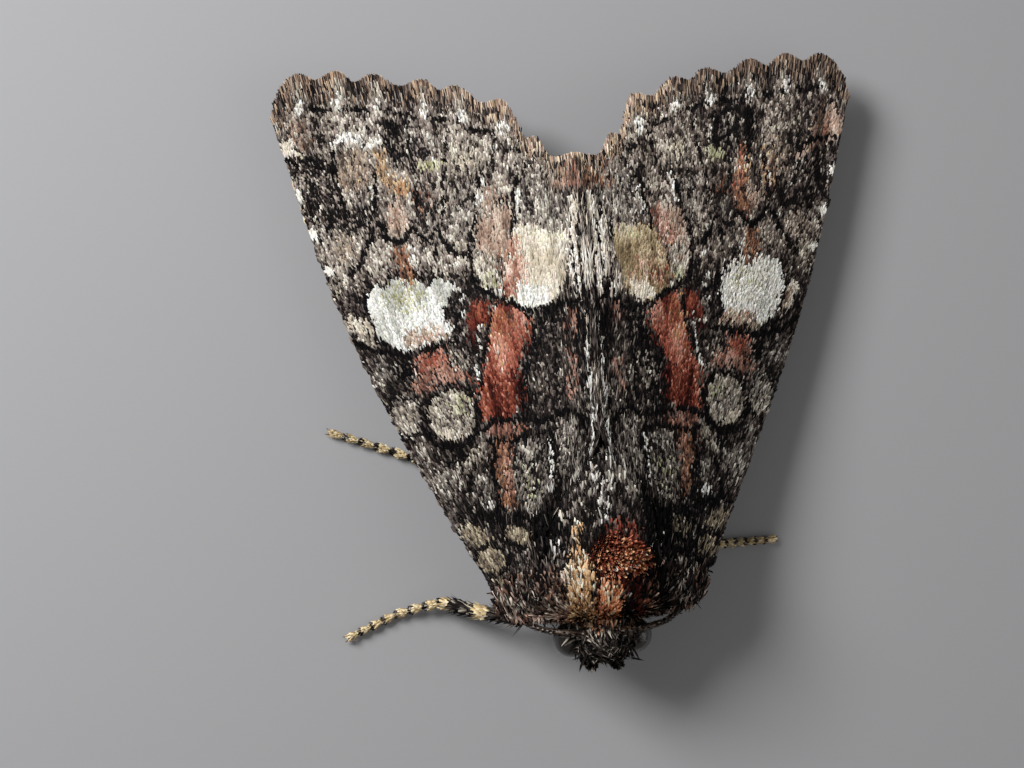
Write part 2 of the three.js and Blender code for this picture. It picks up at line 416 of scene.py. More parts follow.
class Tone(Enum):
    """The mixes of scale colours that the moth wears."""

    GROUND = Mix("#141111 #2b2523 #4c433e #6a605a #968c81 #d4cec2", (31, 25, 24, 13, 6, 1))
    ASH = Mix("#191514 #463d39 #786d65 #978c81 #b8afa2 #ded7ca", (15, 16, 24, 25, 15, 5))
    DUSK = Mix("#191515 #3b332f #5c514a #7d7168 #b5ab9d", (28, 24, 24, 16, 8))
    BLACK = Mix("#0b0909 #241f1e #6b635d", (86, 10, 4))
    DARK = Mix("#110e0e #302927 #5c5450 #a39b90", (56, 22, 15, 7))
    GREY = Mix("#1d1918 #4d4642 #756d66 #989086 #cfc9bc", (20, 20, 28, 21, 11))
    PALE = Mix("#2b2625 #766d64 #9c9284 #bdb4a5 #dcd6c8", (10, 22, 34, 24, 10))
    SILVER = Mix("#56504d #c9c5bb #ecebe4", (10, 40, 50))
    STREAK = Mix("#0f0c0c #4f4845 #8d847b #cabfaf #f1e8dc", (38, 10, 12, 20, 20), 2.0)
    CHALK = Mix("#b4b4ab #d4d3cb #ebebe6", (16, 42, 42), 0.4)
    FROST = Mix("#ddd9cd #f8f4e8", (40, 60))
    CREAM = Mix("#c3b7a2 #d5cbba #e4ddcf", (18, 46, 36), 0.3)
    LICHEN = Mix("#97946f #b3b08c #cfcdb0", (16, 38, 46), 0.3)
    OLIVE = Mix("#7d6c52 #a59273 #bbaa8b #d0c3a8", (14, 38, 32, 16), 0.4)
    BEIGE = Mix("#4e4038 #8d7465 #ab9180 #c8b5a4", (12, 30, 38, 20), 0.4)
    FAWN = Mix("#4b4038 #85766a #a3917f #c2b29e", (12, 30, 36, 22), 0.7)
    TAN = Mix("#3b3029 #7a634f #a08466 #c4a985", (16, 30, 34, 20), 0.7)
    STRAW = Mix("#5c4734 #c0966c #ebc79c #fdeed6", (16, 28, 34, 22))
    SALMON = Mix("#7a4630 #cf8860 #f0b088 #fddcbd", (16, 30, 36, 18))
    BARK = Mix("#171212 #3b2d26 #73584a #a58a7a #dccbbc", (32, 24, 22, 13, 9))
    RUST = Mix("#3a2a24 #6b4a3b #886049 #a87e62", (18, 34, 34, 14), 0.7)
    AMBER = Mix("#5a3626 #8a5a3c #a67351 #c59c74", (14, 34, 36, 16), 0.5)
    BRICK = Mix("#542520 #854536 #a4604d #c18876", (12, 32, 36, 20), 0.4)
    BLOOD = Mix("#2a110d #55241c #733528 #94543f", (18, 36, 32, 14), 0.4)
    WINE = Mix("#1a0b0a #341512 #4e221b #73392c", (22, 38, 28, 12), 0.4)
    ROSE = Mix("#3c2a26 #7a5346 #9a7160 #b99484", (16, 32, 34, 18), 0.4)
    BLUSH = Mix("#8f6252 #b68c79 #cfae9c #e2cfc2", (16, 36, 32, 16), 0.3)
    FRINGE = Mix("#453932 #735f54 #927b69 #b39a82", (16, 28, 34, 22))
    EMBER = Mix("#5a3025 #9c5d48 #c98a68 #f0c6a2", (22, 30, 30, 18))
    SOOT = Mix("#141110 #2f2926 #57504a #a39b8e", (50, 26, 16, 8))
    BONE = Mix("#a98f62 #e0c796 #f6e3bb", (12, 38, 50), 0.3)
    DRAB = Mix("#3a332d #655a4d #877a66 #a3977f #c6bba4", (14, 26, 30, 22, 8), 0.7)
    SMOKE = Mix("#3a322e #4b423c #5f554d #7b7066", (16, 28, 34, 22))
    BUFF = Mix("#83705a #b09a7c #c9b596 #ddcdb2", (12, 32, 36, 20))

    def pick(self, chance: Array) -> Array:
        """Gives each scale a colour of the mix, by an even chance from 0 to 1."""
        return self.value.pick(chance)


# each mix by its own name
(
    GROUND, ASH, DUSK, BLACK, DARK, GREY, PALE, SILVER, STREAK, CHALK, FROST, CREAM, LICHEN, OLIVE, BEIGE,
    FAWN, TAN, STRAW, SALMON, BARK, RUST, AMBER, BRICK, BLOOD, WINE, ROSE, BLUSH, FRINGE, EMBER, SOOT, BONE,
    DRAB, SMOKE, BUFF,
) = Tone


def to_stretch(x: Array, y: Array, start: Spot, end: Spot) -> tuple[Array, Array]:
    """Measures places against one straight stretch.

    Args:
        x: Places across.
        y: Places along.
        start: Where the stretch starts.
        end: Where it ends.

    Returns:
        Each place's distance from the stretch, and how far along it the nearest point is, from 0 to 1.
    """
    run = np.subtract(end, start)
    share = ((x - start[0]) * run[0] + (y - start[1]) * run[1]) / max(run @ run, 1e-12)
    share = np.clip(share, 0, 1)
    return np.hypot(x - start[0] - share * run[0], y - start[1] - share * run[1]), share


@dataclass(frozen=True)
class Oval:
    """The outline of an oval marking."""

    centre: Spot
    radii: Spot
    turn: float  # degrees, against the clock

    def depth(self, x: Array, y: Array) -> Array:
        """Says how far inside the oval each place is.

        Args:
            x: Places across, in mm.
            y: Places along, in mm.

        Returns:
            Depths in mm, below 0 outside.
        """
        angle = math.radians(self.turn)
        right, ahead = x - self.centre[0], y - self.centre[1]
        across = right * math.cos(angle) + ahead * math.sin(angle)
        along = ahead * math.cos(angle) - right * math.sin(angle)
        return (1 - np.hypot(across / self.radii[0], along / self.radii[1])) * min(self.radii)


@dataclass(frozen=True)
class Stroke:
    """The outline of a line through a few points, which may swell or taper."""

    path: tuple[Spot, ...]
    halves: Spot  # half its width at its start and at its end

    def depth(self, x: Array, y: Array) -> Array:
        """Says how far inside the line each place is.

        Args:
            x: Places across, in mm.
            y: Places along, in mm.

        Returns:
            Depths in mm, below 0 outside.
        """
        best = np.full(x.shape, -9.0)
        for number, (start, end) in enumerate(zip(self.path, self.path[1:])):
            distance, share = to_stretch(x, y, start, end)
            best = np.maximum(best, blend(*self.halves, (number + share) / (len(self.path) - 1)) - distance)
        return best


@dataclass(frozen=True)
class Patch:
    """The outline of a marking with corners."""

    corners: tuple[Spot, ...]

    def depth(self, x: Array, y: Array) -> Array:
        """Says how far inside the corners' outline each place is.

        Args:
            x: Places across, in mm.
            y: Places along, in mm.

        Returns:
            Depths in mm, below 0 outside.
        """
        nearest = np.full(x.shape, 9.0)
        inside = np.zeros(x.shape, bool)
        for start, end in zip(self.corners, self.corners[1:] + self.corners[:1]):
            nearest = np.minimum(nearest, to_stretch(x, y, start, end)[0])
            if start[1] != end[1]:
                crossing = start[0] + (y - start[1]) * (end[0] - start[0]) / (end[1] - start[1])
                inside ^= ((start[1] > y) != (end[1] > y)) & (x < crossing)
        return np.where(inside, nearest, -nearest)


@dataclass(frozen=True)
class Mark:
    """One marking: its mix of colours, its outline, and how it breaks up at its edge."""

    tone: Tone
    shape: Oval | Stroke | Patch
    soft: float  # width over which its scales thin out, in mm
    cover: float  # share of the scales that it takes
    side: Side | None = None  # one wing only


def oval(
    tone: Tone, soft: float, cover: float, centre: Spot, radii: Spot, turn: float = 0,
    side: Side | None = None,
) -> Mark:
    """Makes an oval marking."""
    return Mark(tone, Oval(centre, radii, turn), soft, cover, side)


def line(
    tone: Tone, soft: float, cover: float, half: float | Spot, *path: Spot, side: Side | None = None
) -> Mark:
    """Makes a line marking from half its width, or half its width at each end, and its points."""
    return Mark(tone, Stroke(path, half if isinstance(half, tuple) else (half, half)), soft, cover, side)


def area(tone: Tone, soft: float, cover: float, *corners: Spot, side: Side | None = None) -> Mark:
    """Makes a marking with corners."""
    return Mark(tone, Patch(corners), soft, cover, side)


def dots(tone: Tone, cover: float, radii: Spot, turn: float, *centres: Spot) -> tuple[Mark, ...]:
    """Makes one small oval marking at each centre."""
    return tuple(oval(tone, 0.03, cover, centre, radii, turn) for centre in centres)


@dataclass(frozen=True)
class Pattern:
    """Markings painted over each other in order, as scales laid side by side."""

    ground: Tone
    marks: tuple[Mark, ...]
    seed: int
    ragged: float = 0.055  # how far edges wander, in mm
    grains = ((0.065, 0.12), (0.085, 0.5), (0.45, 0.7), (0.06, 0.8))  # flecks, streaks, blotches, threads

    def paint(self, place: Array, grain: Array, rng: Random) -> Array:
        """Colours scales by where they lie.

        Args:
            place: Places in plan, in mm; the sign of X tells the wing.
            grain: The same places, counted across and along the lie of the scales, in mm.
            rng: Random numbers.

        Returns:
            Linear colours.
        """
        hand, count = np.sign(place[:, 0]), len(place)
        x = np.abs(place[:, 0]) + self.wander(place, 3) * self.ragged
        y = place[:, 1] + self.wander(place, 7) * self.ragged
        tones = [self.ground]
        choice = np.zeros(count, int)
        for mark in self.marks:
            inside = mark.shape.depth(x, y) > (rng.random(count) - 0.5) * 2 * mark.soft
            inside &= rng.random(count) < mark.cover
            if mark.side is not None:
                inside &= hand == mark.side.value
            if mark.tone not in tones:
                tones.append(mark.tone)
            choice[inside] = tones.index(mark.tone)
        fleck, streak, wide, thread = (
            cloud(grain[:, 0], grain[:, 1], across, along, self.seed + 11 + number)
            for number, (across, along) in enumerate(self.grains)
        )
        single = rng.random(count)
        flecked = evened(fleck + 0.45 * wide + 0.75 * single)
        drifting = evened(0.9 * streak + 0.9 * wide + 0.35 * single)
        lined = evened(thread + 0.25 * wide + 0.30 * single)
        colours = np.zeros((count, 3))
        for number, tone in enumerate(tones):
            chosen = choice == number
            grainy = tone.value.grain
            chance = lined if grainy > 1.5 else flecked if grainy > 0.5 else drifting
            colours[chosen] = tone.pick(chance[chosen])
        change = np.exp(rng.normal(0, 0.06, (count, 1)) + rng.normal(0, 0.02, (count, 3)))
        return np.clip(colours * change, 0.0, PALEST)

    def wander(self, place: Array, seed: int) -> Array:
        """Shifts the edges of markings.

        Args:
            place: Places in plan, in mm.
            seed: Picks another noise.

        Returns:
            A shift from about -1 to 1 for each place.
        """
        wide = cloud(place[:, 0], place[:, 1], 0.34, 0.40, self.seed + seed)
        fine = cloud(place[:, 0], place[:, 1], 0.10, 0.12, self.seed + seed + 1)
        return (wide + 0.7 * fine - 0.85) * 1.5


# The broad tints of the wing, from the tail end to the head end; the dusk over the left wing's outer field is
# painted shade.
FIELDS = (
    area(
        ASH, 0.3, 1, (0, 2), (3, 2.5), (5.6, 2.6), (6.6, 3), (7.1, 5.2), (7.4, 6.8), (6.9, 7.9), (5, 7.8),
        (3, 7.3), (1.6, 6.4), (0.9, 5.8), (0, 4.6),
    ),
    # painted shade: the left wing's outer field is darker, as that side lies in shade
    area(DUSK, 0.3, 0.75, (1, 2), (5.8, 2.4), (7.2, 5.2), (7.4, 7.4), (4, 7.3), (1.2, 5.4), side=LEFT),
    area(
        DARK, 0.12, 0.6, (5.95, 5.5), (6.3, 5.72), (7.2, 5.75), (6.95, 4.9), (6.5, 3.8), (6.1, 3.7),
        (5.9, 4.2), (5.75, 4.9),
    ),
    area(DARK, 0.15, 0.7, (5, 4.6), (5.9, 4.5), (5.9, 3.9), (5.4, 3.7), (5.05, 3.95)),
    area(
        DARK, 0.1, 0.45, (3.85, 5.5), (4.5, 5.4), (4.75, 6.3), (4.5, 6.65), (4.1, 6.7), (3.8, 6.3),
        side=RIGHT,
    ),
    line(BLACK, 0.05, 0.9, (0.15, 0.06), (4.46, 6.4), (4.42, 5.9), (4.36, 5.5), side=RIGHT),
    area(
        DARK, 0.1, 0.8, (3.45, 5.5), (4.5, 5.4), (4.75, 6.3), (4.5, 6.65), (4.1, 6.7), (3.5, 6.3), side=LEFT,
    ),
    area(GREY, 0.12, 0.8, (0.4, 3.7), (1.6, 3.8), (1.6, 4.7), (1.1, 5), (0.4, 4.4)),
    area(GREY, 0.12, 0.7, (2.45, 4.9), (3.1, 4.9), (3.2, 3.7), (2.75, 3.5)),
    area(DARK, 0.2, 0.4, (2.8, 1.6), (5.6, 0.9), (5.3, 0.2), (2.7, -0.1)),
    area(STREAK, 0.05, 1, (0, 1.9), (0.42, 1.9), (0.48, 2.6), (0.34, 3.4), (0.3, 4.4), (0, 4.5), side=RIGHT),
    area(STREAK, 0.05, 1, (0, 1.9), (0.78, 1.94), (0.76, 4.2), (0, 4.45), side=LEFT),
    area(CREAM, 0.06, 0.35, (0, 3.6), (0.22, 3.6), (0.26, 4.45), (0, 4.5)),
    area(DARK, 0.1, 0.8, (0, -3), (0.5, -2.8), (0.55, 1.8), (0, 1.8)),
    area(STREAK, 0.1, 0.3, (0, -3.3), (0.16, -3.1), (0.24, 1.7), (0, 1.75)),
    area(BEIGE, 0.1, 0.8, (0, 4.55), (0.7, 4.6), (0.75, 5.8), (0, 5.8), side=RIGHT),
    area(BLUSH, 0.1, 0.4, (0, 4.6), (0.35, 4.6), (0.4, 5.2), (0, 5.2), side=RIGHT),
    area(BEIGE, 0.1, 0.6, (0, 4.55), (0.6, 4.6), (0.6, 5.8), (0, 5.8), side=LEFT),
    area(RUST, 0.1, 0.4, (0, 4.55), (0.85, 4.6), (0.8, 5.8), (0, 5.8), side=LEFT),
    area(GREY, 0.1, 0.5, (0.3, 4.5), (1, 4.3), (1.1, 3.8), (0.4, 3.7)),
    area(DARK, 0.2, 0.4, (0, -0.9), (4.2, -0.9), (2.9, -6.2), (0, -6.2)),
    area(DARK, 0.2, 0.5, (0.9, -3.2), (3.4, -3), (2.4, -6.2), (0.9, -6.2)),
)

# Brick-red and wine-red marks of the middle field.
REDS = (
    line(ROSE, 0.06, 0.6, 0.12, (0.46, 1.6), (0.54, 1.1), side=RIGHT),
    line(ROSE, 0.06, 0.6, (0.1, 0.14), (0.54, 0.6), (0.6, -0.4), side=RIGHT),
    line(ROSE, 0.06, 0.4, (0.1, 0.14), (0.54, 0.4), (0.6, -0.3), side=LEFT),
    oval(ROSE, 0.05, 0.7, (0.64, 1.46), (0.15, 0.22), side=LEFT),
    area(
        BLACK, 0.08, 0.85, (0.95, 1.68), (1.45, 1.62), (1.6, 1.05), (1.84, 0), (1.78, -0.85), (1.5, -0.9),
        (1.42, 0), (1.2, 0.9),
    ),
    area(
        BRICK, 0.06, 1, (1.45, 1.5), (1.7, 1.76), (2.2, 1.92), (2.35, 1.5), (2.4, 0.9), (2.55, 0.4),
        (2.68, 0), (2.68, -0.5), (2.62, -0.88), (2.05, -0.9), (1.8, -0.6), (1.88, 0), (1.72, 0.6),
        (1.55, 1.1),
    ),
    oval(ROSE, 0.2, 0.5, (1.66, 1.4), (0.24, 0.3)),
    area(AMBER, 0.2, 0.45, (1.9, 1.5), (2.1, 1.84), (2.35, 1.8), (2.4, 1), (2.2, 0.5)),
    oval(BLUSH, 0.14, 0.22, (2.26, 0.6), (0.16, 0.5), 12),
    oval(BLOOD, 0.1, 0.6, (1.52, 1.02), (0.14, 0.34), 8),
    area(BLOOD, 0.25, 0.9, (1.9, 0.15), (2.72, 0.1), (2.66, -0.88), (2.05, -0.92), (1.8, -0.55)),
    area(WINE, 0.1, 0.75, (1.86, 0.2), (2.1, 0.15), (2.2, -0.85), (2.02, -0.92), (1.8, -0.5)),
    oval(WINE, 0.07, 0.85, (2.62, 1.62), (0.26, 0.38), 10),
    oval(BLOOD, 0.07, 0.7, (2.6, 1.66), (0.16, 0.26), 10),
    oval(WINE, 0.07, 0.6, (2.78, 1.22), (0.14, 0.32), 8),
    line(BLACK, 0.03, 0.85, 0.045, (2.38, 1.8), (2.46, 0.95), (2.7, 0.2), (2.76, -0.85)),
    line(BLACK, 0.06, 0.6, (0.2, 0.14), (1.08, 1.5), (1.2, 0.6), (1.46, -0.7), side=LEFT),
    area(ROSE, 0.12, 0.9, (3.5, 0.92), (4.1, 0.98), (4.22, 0.6), (3.98, 0.15), (3.56, 0.22)),
    oval(BRICK, 0.12, 0.8, (3.8, 0.66), (0.3, 0.28)),
    oval(BLUSH, 0.1, 0.4, (4.04, 0.3), (0.18, 0.12), 30),
    oval(ROSE, 0.08, 0.8, (3.34, 0.22), (0.32, 0.22), 10),
    oval(ROSE, 0.08, 0.7, (3.95, 0.02), (0.28, 0.2), -10),
    oval(ROSE, 0.05, 0.9, (2.12, -1.17), (0.46, 0.17), -6),
    line(RUST, 0.12, 0.8, (0.26, 0.2), (2.3, -1.6), (2.26, -2.2), (2.14, -2.9)),
    line(BLUSH, 0.08, 0.5, 0.12, (2.12, -1.64), (2.08, -2.6)),
)

# Pale spots and patches.
PALES = (
    area(
        BEIGE, 0.07, 0.95, (1.64, 4.15), (2.1, 4.3), (2.48, 3.85), (2.54, 3.3), (2.4, 2.9), (1.98, 2.95),
        (1.74, 3.4), side=RIGHT,
    ),
    area(BEIGE, 0.1, 0.5, (1.75, 4.2), (1.9, 4.9), (2.3, 4.8), (2.35, 4.2), side=RIGHT),
    area(BEIGE, 0.1, 0.85, (2.04, 4.05), (2.54, 3.95), (2.62, 3.05), (2.44, 2.6), (2.08, 2.85), side=LEFT),
    line(ROSE, 0.08, 0.75, (0.17, 0.22), (1.86, 3.95), (2.1, 3.4), (2.36, 2.75), side=LEFT),
    line(BLUSH, 0.08, 0.45, (0.12, 0.16), (2.04, 3.6), (2.3, 2.9), side=LEFT),
    oval(BLACK, 0.05, 0.7, (1.84, 4.34), (0.13, 0.18), side=RIGHT),
    oval(RUST, 0.06, 0.4, (1.98, 2.92), (0.12, 0.34), side=RIGHT),
    area(PALE, 0.06, 0.85, (2.1, 3.1), (2.5, 3.2), (2.62, 2.6), (2.4, 2.2), (2.08, 2.25)),
    oval(LICHEN, 0.06, 0.6, (2.3, 2.42), (0.14, 0.18)),
    # inner patch: cream on the right wing, olive and brick on the left
    area(
        CREAM, 0.04, 1, (0.28, 3.45), (0.5, 3.62), (0.75, 3.42), (1, 3.62), (1.4, 3.76), (1.62, 3.72),
        (1.68, 3.3), (1.86, 2.9), (2.04, 2.3), (1.96, 2), (1.62, 1.8), (1.28, 1.74), (0.95, 1.8), (0.66, 2),
        (0.54, 2.5), (0.48, 2.95), side=RIGHT,
    ),
    oval(LICHEN, 0.1, 0.3, (1.05, 3.48), (0.5, 0.16), 8, side=RIGHT),
    area(
        BLUSH, 0.1, 0.8, (1.55, 3.5), (1.72, 3.4), (1.9, 2.8), (2.03, 2.2), (1.8, 1.98), (1.6, 2.4),
        (1.52, 2.9), side=RIGHT,
    ),
    area(BLUSH, 0.12, 0.85, (1.42, 2.95), (1.66, 3), (2.02, 2.35), (1.96, 2), (1.6, 2.05), side=RIGHT),
    oval(BRICK, 0.08, 0.4, (1.9, 2.26), (0.1, 0.2), 10, side=RIGHT),
    area(CHALK, 0.08, 0.9, (0.9, 2.2), (1.6, 2.32), (1.8, 1.95), (1.42, 1.74), (1, 1.79), side=RIGHT),
    area(
        OLIVE, 0.04, 1, (0.78, 3.5), (1, 3.66), (1.2, 3.46), (1.5, 3.62), (1.78, 3.56), (1.96, 3.1),
        (2.1, 2.5), (2.1, 2.1), (1.9, 1.86), (1.5, 1.72), (1.15, 1.84), (0.86, 2.1), (0.8, 2.6), (0.75, 3.1),
        side=LEFT,
    ),
    oval(LICHEN, 0.14, 0.3, (1.16, 3.36), (0.34, 0.2), 8, side=LEFT),
    oval(BLUSH, 0.2, 0.5, (1.5, 2.5), (0.4, 0.36), side=LEFT),
    area(TAN, 0.16, 0.4, (1.5, 2.9), (2, 3), (2.12, 2.3), (1.92, 1.98), (1.5, 2.1), side=LEFT),
    area(BRICK, 0.14, 0.45, (1.7, 2.6), (1.96, 2.65), (2.12, 2.3), (1.92, 1.98), (1.66, 2.15), side=LEFT),
    area(CREAM, 0.06, 0.9, (0.98, 2.25), (1.45, 2.22), (1.72, 1.9), (1.46, 1.72), (1.1, 1.84), side=LEFT),
    # kidney spot
    oval(BLACK, 0.2, 0.5, (4.25, 1.8), (1.2, 1.02)),
    area(
        CHALK, 0.04, 1, (3.12, 2.44), (3.4, 2.52), (3.56, 2.62), (3.78, 2.4), (4, 2.5), (4.3, 2.62),
        (4.6, 2.66), (4.78, 2.46), (5.05, 2.58), (5.28, 2.3), (5.2, 2), (5.22, 1.7), (5.05, 1.3), (4.75, 1),
        (4.45, 0.86), (4.05, 0.92), (3.7, 1.06), (3.4, 1.1), (3.2, 1.3), (3.5, 1.5), (3.5, 1.85),
        (3.36, 2.1), side=RIGHT,
    ),
    area(
        CHALK, 0.04, 1, (3.46, 2.1), (3.72, 2.4), (3.98, 2.7), (4.34, 2.8), (4.7, 2.7), (5.1, 2.66),
        (5.22, 2.4), (5.08, 1.95), (4.92, 1.5), (4.68, 1.15), (4.35, 1.08), (3.95, 1.18), (3.58, 1.28),
        (3.46, 1.65), side=LEFT,
    ),
    oval(FROST, 0.12, 0.85, (4.36, 1.95), (0.92, 0.84), side=LEFT),
    oval(LICHEN, 0.16, 0.5, (4.36, 2.18), (0.44, 0.36), 5, side=RIGHT),
    oval(LICHEN, 0.16, 0.3, (4.1, 2.1), (0.3, 0.36), 5, side=LEFT),
    area(FAWN, 0.07, 0.8, (3.3, 1.1), (3.9, 1.06), (4.42, 0.92), (4.4, 1.34), (3.62, 1.48)),
    area(BLUSH, 0.08, 0.3, (3.3, 1.2), (4.3, 1), (4.3, 1.3), (3.62, 1.42)),
    area(CHALK, 0.1, 0.5, (4.3, 1.9), (4.9, 1.9), (4.9, 1.3), (4.5, 1.2)),
    area(
        PALE, 0.05, 0.95, (5.06, 1.06), (5.32, 1.1), (5.85, 1.45), (5.98, 1.76), (5.62, 1.8), (5.26, 1.66),
        (5.12, 1.45), side=RIGHT,
    ),
    oval(CREAM, 0.08, 0.8, (5.52, 1.56), (0.3, 0.14), 40, side=RIGHT),
    area(CREAM, 0.04, 1, (5.08, 1.38), (5.4, 1.48), (5.66, 1.95), (5.52, 2.18), (5.3, 1.96), side=LEFT),
    oval(BEIGE, 0.05, 0.9, (5.38, 1.76), (0.1, 0.24), -35, side=LEFT),
    line(BLACK, 0.03, 0.85, 0.045, (5.32, 2.3), (5.26, 1.86), (5.08, 1.22), (4.78, 0.9)),
    # round spot and its neighbours
    oval(BLACK, 0.08, 0.85, (3.4, -0.74), (0.7, 0.76)),
    oval(PALE, 0.05, 1, (3.4, -0.76), (0.54, 0.6)),
    oval(GREY, 0.1, 0.6, (3.32, -0.7), (0.34, 0.38), 20),
    oval(DUSK, 0.08, 0.5, (3.44, -0.66), (0.14, 0.22), 20),
    oval(LICHEN, 0.1, 0.3, (3.2, -0.5), (0.24, 0.2), 20),
    oval(CREAM, 0.05, 0.85, (3.56, -1.2), (0.2, 0.11), 25),
    oval(BLACK, 0.08, 0.8, (4.5, -0.74), (0.48, 0.6)),
    oval(GREY, 0.06, 1, (4.5, -0.74), (0.36, 0.48)),
    oval(PALE, 0.1, 0.7, (4.48, -0.8), (0.28, 0.38)),
    oval(GREY, 0.08, 0.85, (4.92, 0.42), (0.3, 0.38)),
    oval(PALE, 0.08, 0.5, (3.16, 0.62), (0.2, 0.24)),
    area(GREY, 0.06, 0.95, (1.22, -1.4), (1.75, -1.44), (2.02, -2), (1.98, -3), (1.62, -3.25), (1.26, -2.8)),
    oval(LICHEN, 0.14, 0.25, (1.66, -2.5), (0.24, 0.42)),
    oval(GREY, 0.1, 0.8, (0.72, -1.95), (0.34, 1)),
    area(PALE, 0.05, 0.85, (2.64, -1.42), (2.86, -1.48), (3.34, -1.98), (3.14, -2.12), (2.76, -1.86)),
    oval(GREY, 0.06, 0.9, (2.68, -2.48), (0.24, 0.3)),
    oval(SILVER, 0.05, 0.7, (2.7, -3), (0.16, 0.1)),
    oval(GREY, 0.08, 0.8, (3.62, -2.4), (0.34, 0.36), 30),
    oval(GREY, 0.06, 0.8, (4.12, -1.78), (0.15, 0.36)),
    oval(BLACK, 0.06, 0.8, (2, -3.76), (0.46, 0.32), 10),
    oval(DRAB, 0.04, 0.95, (1.98, -3.74), (0.32, 0.19), 10),
    oval(DRAB, 0.05, 0.95, (2.98, -3.74), (0.38, 0.19), 30),
    oval(BLACK, 0.06, 0.85, (2.68, -4.36), (0.46, 0.42)),
    oval(DRAB, 0.04, 1, (2.68, -4.36), (0.31, 0.28), 20),
    oval(DRAB, 0.05, 0.8, (2.5, -4.9), (0.18, 0.14)),
    oval(SILVER, 0.02, 1, (2.15, -4.84), (0.11, 0.09)),
    # the outer field: grey blots, and the tan and rust columns between the veins
    area(PALE, 0.08, 0.85, (1.95, 5.15), (2.25, 5.75), (2.95, 5.82), (3.18, 5.5), (3.05, 5.18), (2.5, 5.05)),
    oval(CREAM, 0.08, 0.6, (2.66, 5.48), (0.2, 0.16)),
    oval(LICHEN, 0.06, 0.8, (3.56, 5.4), (0.26, 0.15), -8),
    oval(PALE, 0.06, 0.85, (1.88, 4.68), (0.17, 0.17)),
    oval(PALE, 0.06, 0.8, (2.96, 3.38), (0.24, 0.15)),
    oval(GREY, 0.06, 0.85, (3.76, 3.98), (0.26, 0.24)),
    oval(RUST, 0.1, 0.35, (3.76, 4.56), (0.22, 0.34), 4),
    line(RUST, 0.08, 0.8, (0.22, 0.18), (4.28, 2.72), (4.42, 3.38)),
    oval(BEIGE, 0.06, 0.9, (4.4, 4.14), (0.25, 0.4), side=RIGHT),
    oval(TAN, 0.08, 0.9, (4.34, 4.88), (0.28, 0.26), side=RIGHT),
    oval(AMBER, 0.1, 0.4, (4.32, 4.84), (0.16, 0.16), side=RIGHT),
    oval(BEIGE, 0.08, 0.8, (4.42, 4.24), (0.24, 0.36), side=LEFT),
    line(TAN, 0.05, 0.9, (0.15, 0.12), (4.56, 4.95), (4.7, 5.4), (4.76, 5.9), side=RIGHT),
    line(RUST, 0.07, 0.85, (0.15, 0.17), (4.4, 5.5), (4.34, 5), (4.12, 4.45), (4.22, 3.9), side=LEFT),
    line(BRICK, 0.06, 0.3, 0.09, (4.36, 5.3), (4.1, 4.5), side=LEFT),
    line(STRAW, 0.04, 0.4, 0.07, (4.46, 5.25), (4.42, 4.9), side=LEFT),
    oval(SILVER, 0.04, 0.8, (4.78, 6.05), (0.13, 0.13), side=RIGHT),
    area(FAWN, 0.06, 0.95, (5.02, 4.98), (5.62, 4.88), (5.84, 5.5), (5.66, 5.95), (5.06, 5.88), side=RIGHT),
    area(FAWN, 0.06, 0.5, (5.02, 4.98), (5.5, 4.88), (5.66, 5.5), (5.5, 5.85), (5.06, 5.8), side=LEFT),
    oval(TAN, 0.1, 0.2, (5.44, 5.3), (0.24, 0.3), side=RIGHT),
    oval(TAN, 0.08, 0.8, (4.98, 4.9), (0.2, 0.52), -4, side=LEFT),
    oval(ROSE, 0.08, 0.4, (4.98, 4.8), (0.12, 0.34), -4, side=LEFT),
    line(SILVER, 0.04, 0.85, 0.09, (5, 5.98), (5.26, 6.14), (5.56, 6.3), (5.84, 6.06), side=RIGHT),
    line(PALE, 0.05, 0.9, 0.09, (5.2, 5.98), (5.7, 6.05), (6.06, 6.24), side=LEFT),
    area(FAWN, 0.08, 0.5, (5.35, 3.6), (5.9, 3.92), (6.04, 3.4), (5.7, 3.1)),
    area(PALE, 0.08, 0.6, (5.75, 3.2), (6.1, 3.1), (6, 2.3), (5.8, 2.3)),
    area(BEIGE, 0.08, 0.65, (6.3, 6.15), (6.66, 6.75), (6.92, 6.6), (7.05, 6.1), (6.6, 5.95)),
    area(CREAM, 0.05, 0.9, (6.55, 5.86), (7.2, 5.82), (7.24, 6.25), (6.95, 6.3), (6.8, 6.02), side=RIGHT),
    area(
        BEIGE, 0.05, 0.95, (6.2, 5.72), (6.5, 5.6), (7.12, 5.7), (7.16, 6.2), (6.86, 6.6), (6.66, 6.2),
        (6.24, 6.02), side=LEFT,
    ),
    line(BEIGE, 0.05, 0.9, (0.14, 0.08), (6.6, 5.76), (6.2, 5.56), (5.86, 5.3), side=LEFT),
    oval(BLUSH, 0.1, 0.6, (6.78, 6.02), (0.22, 0.26), 20, side=LEFT),
)

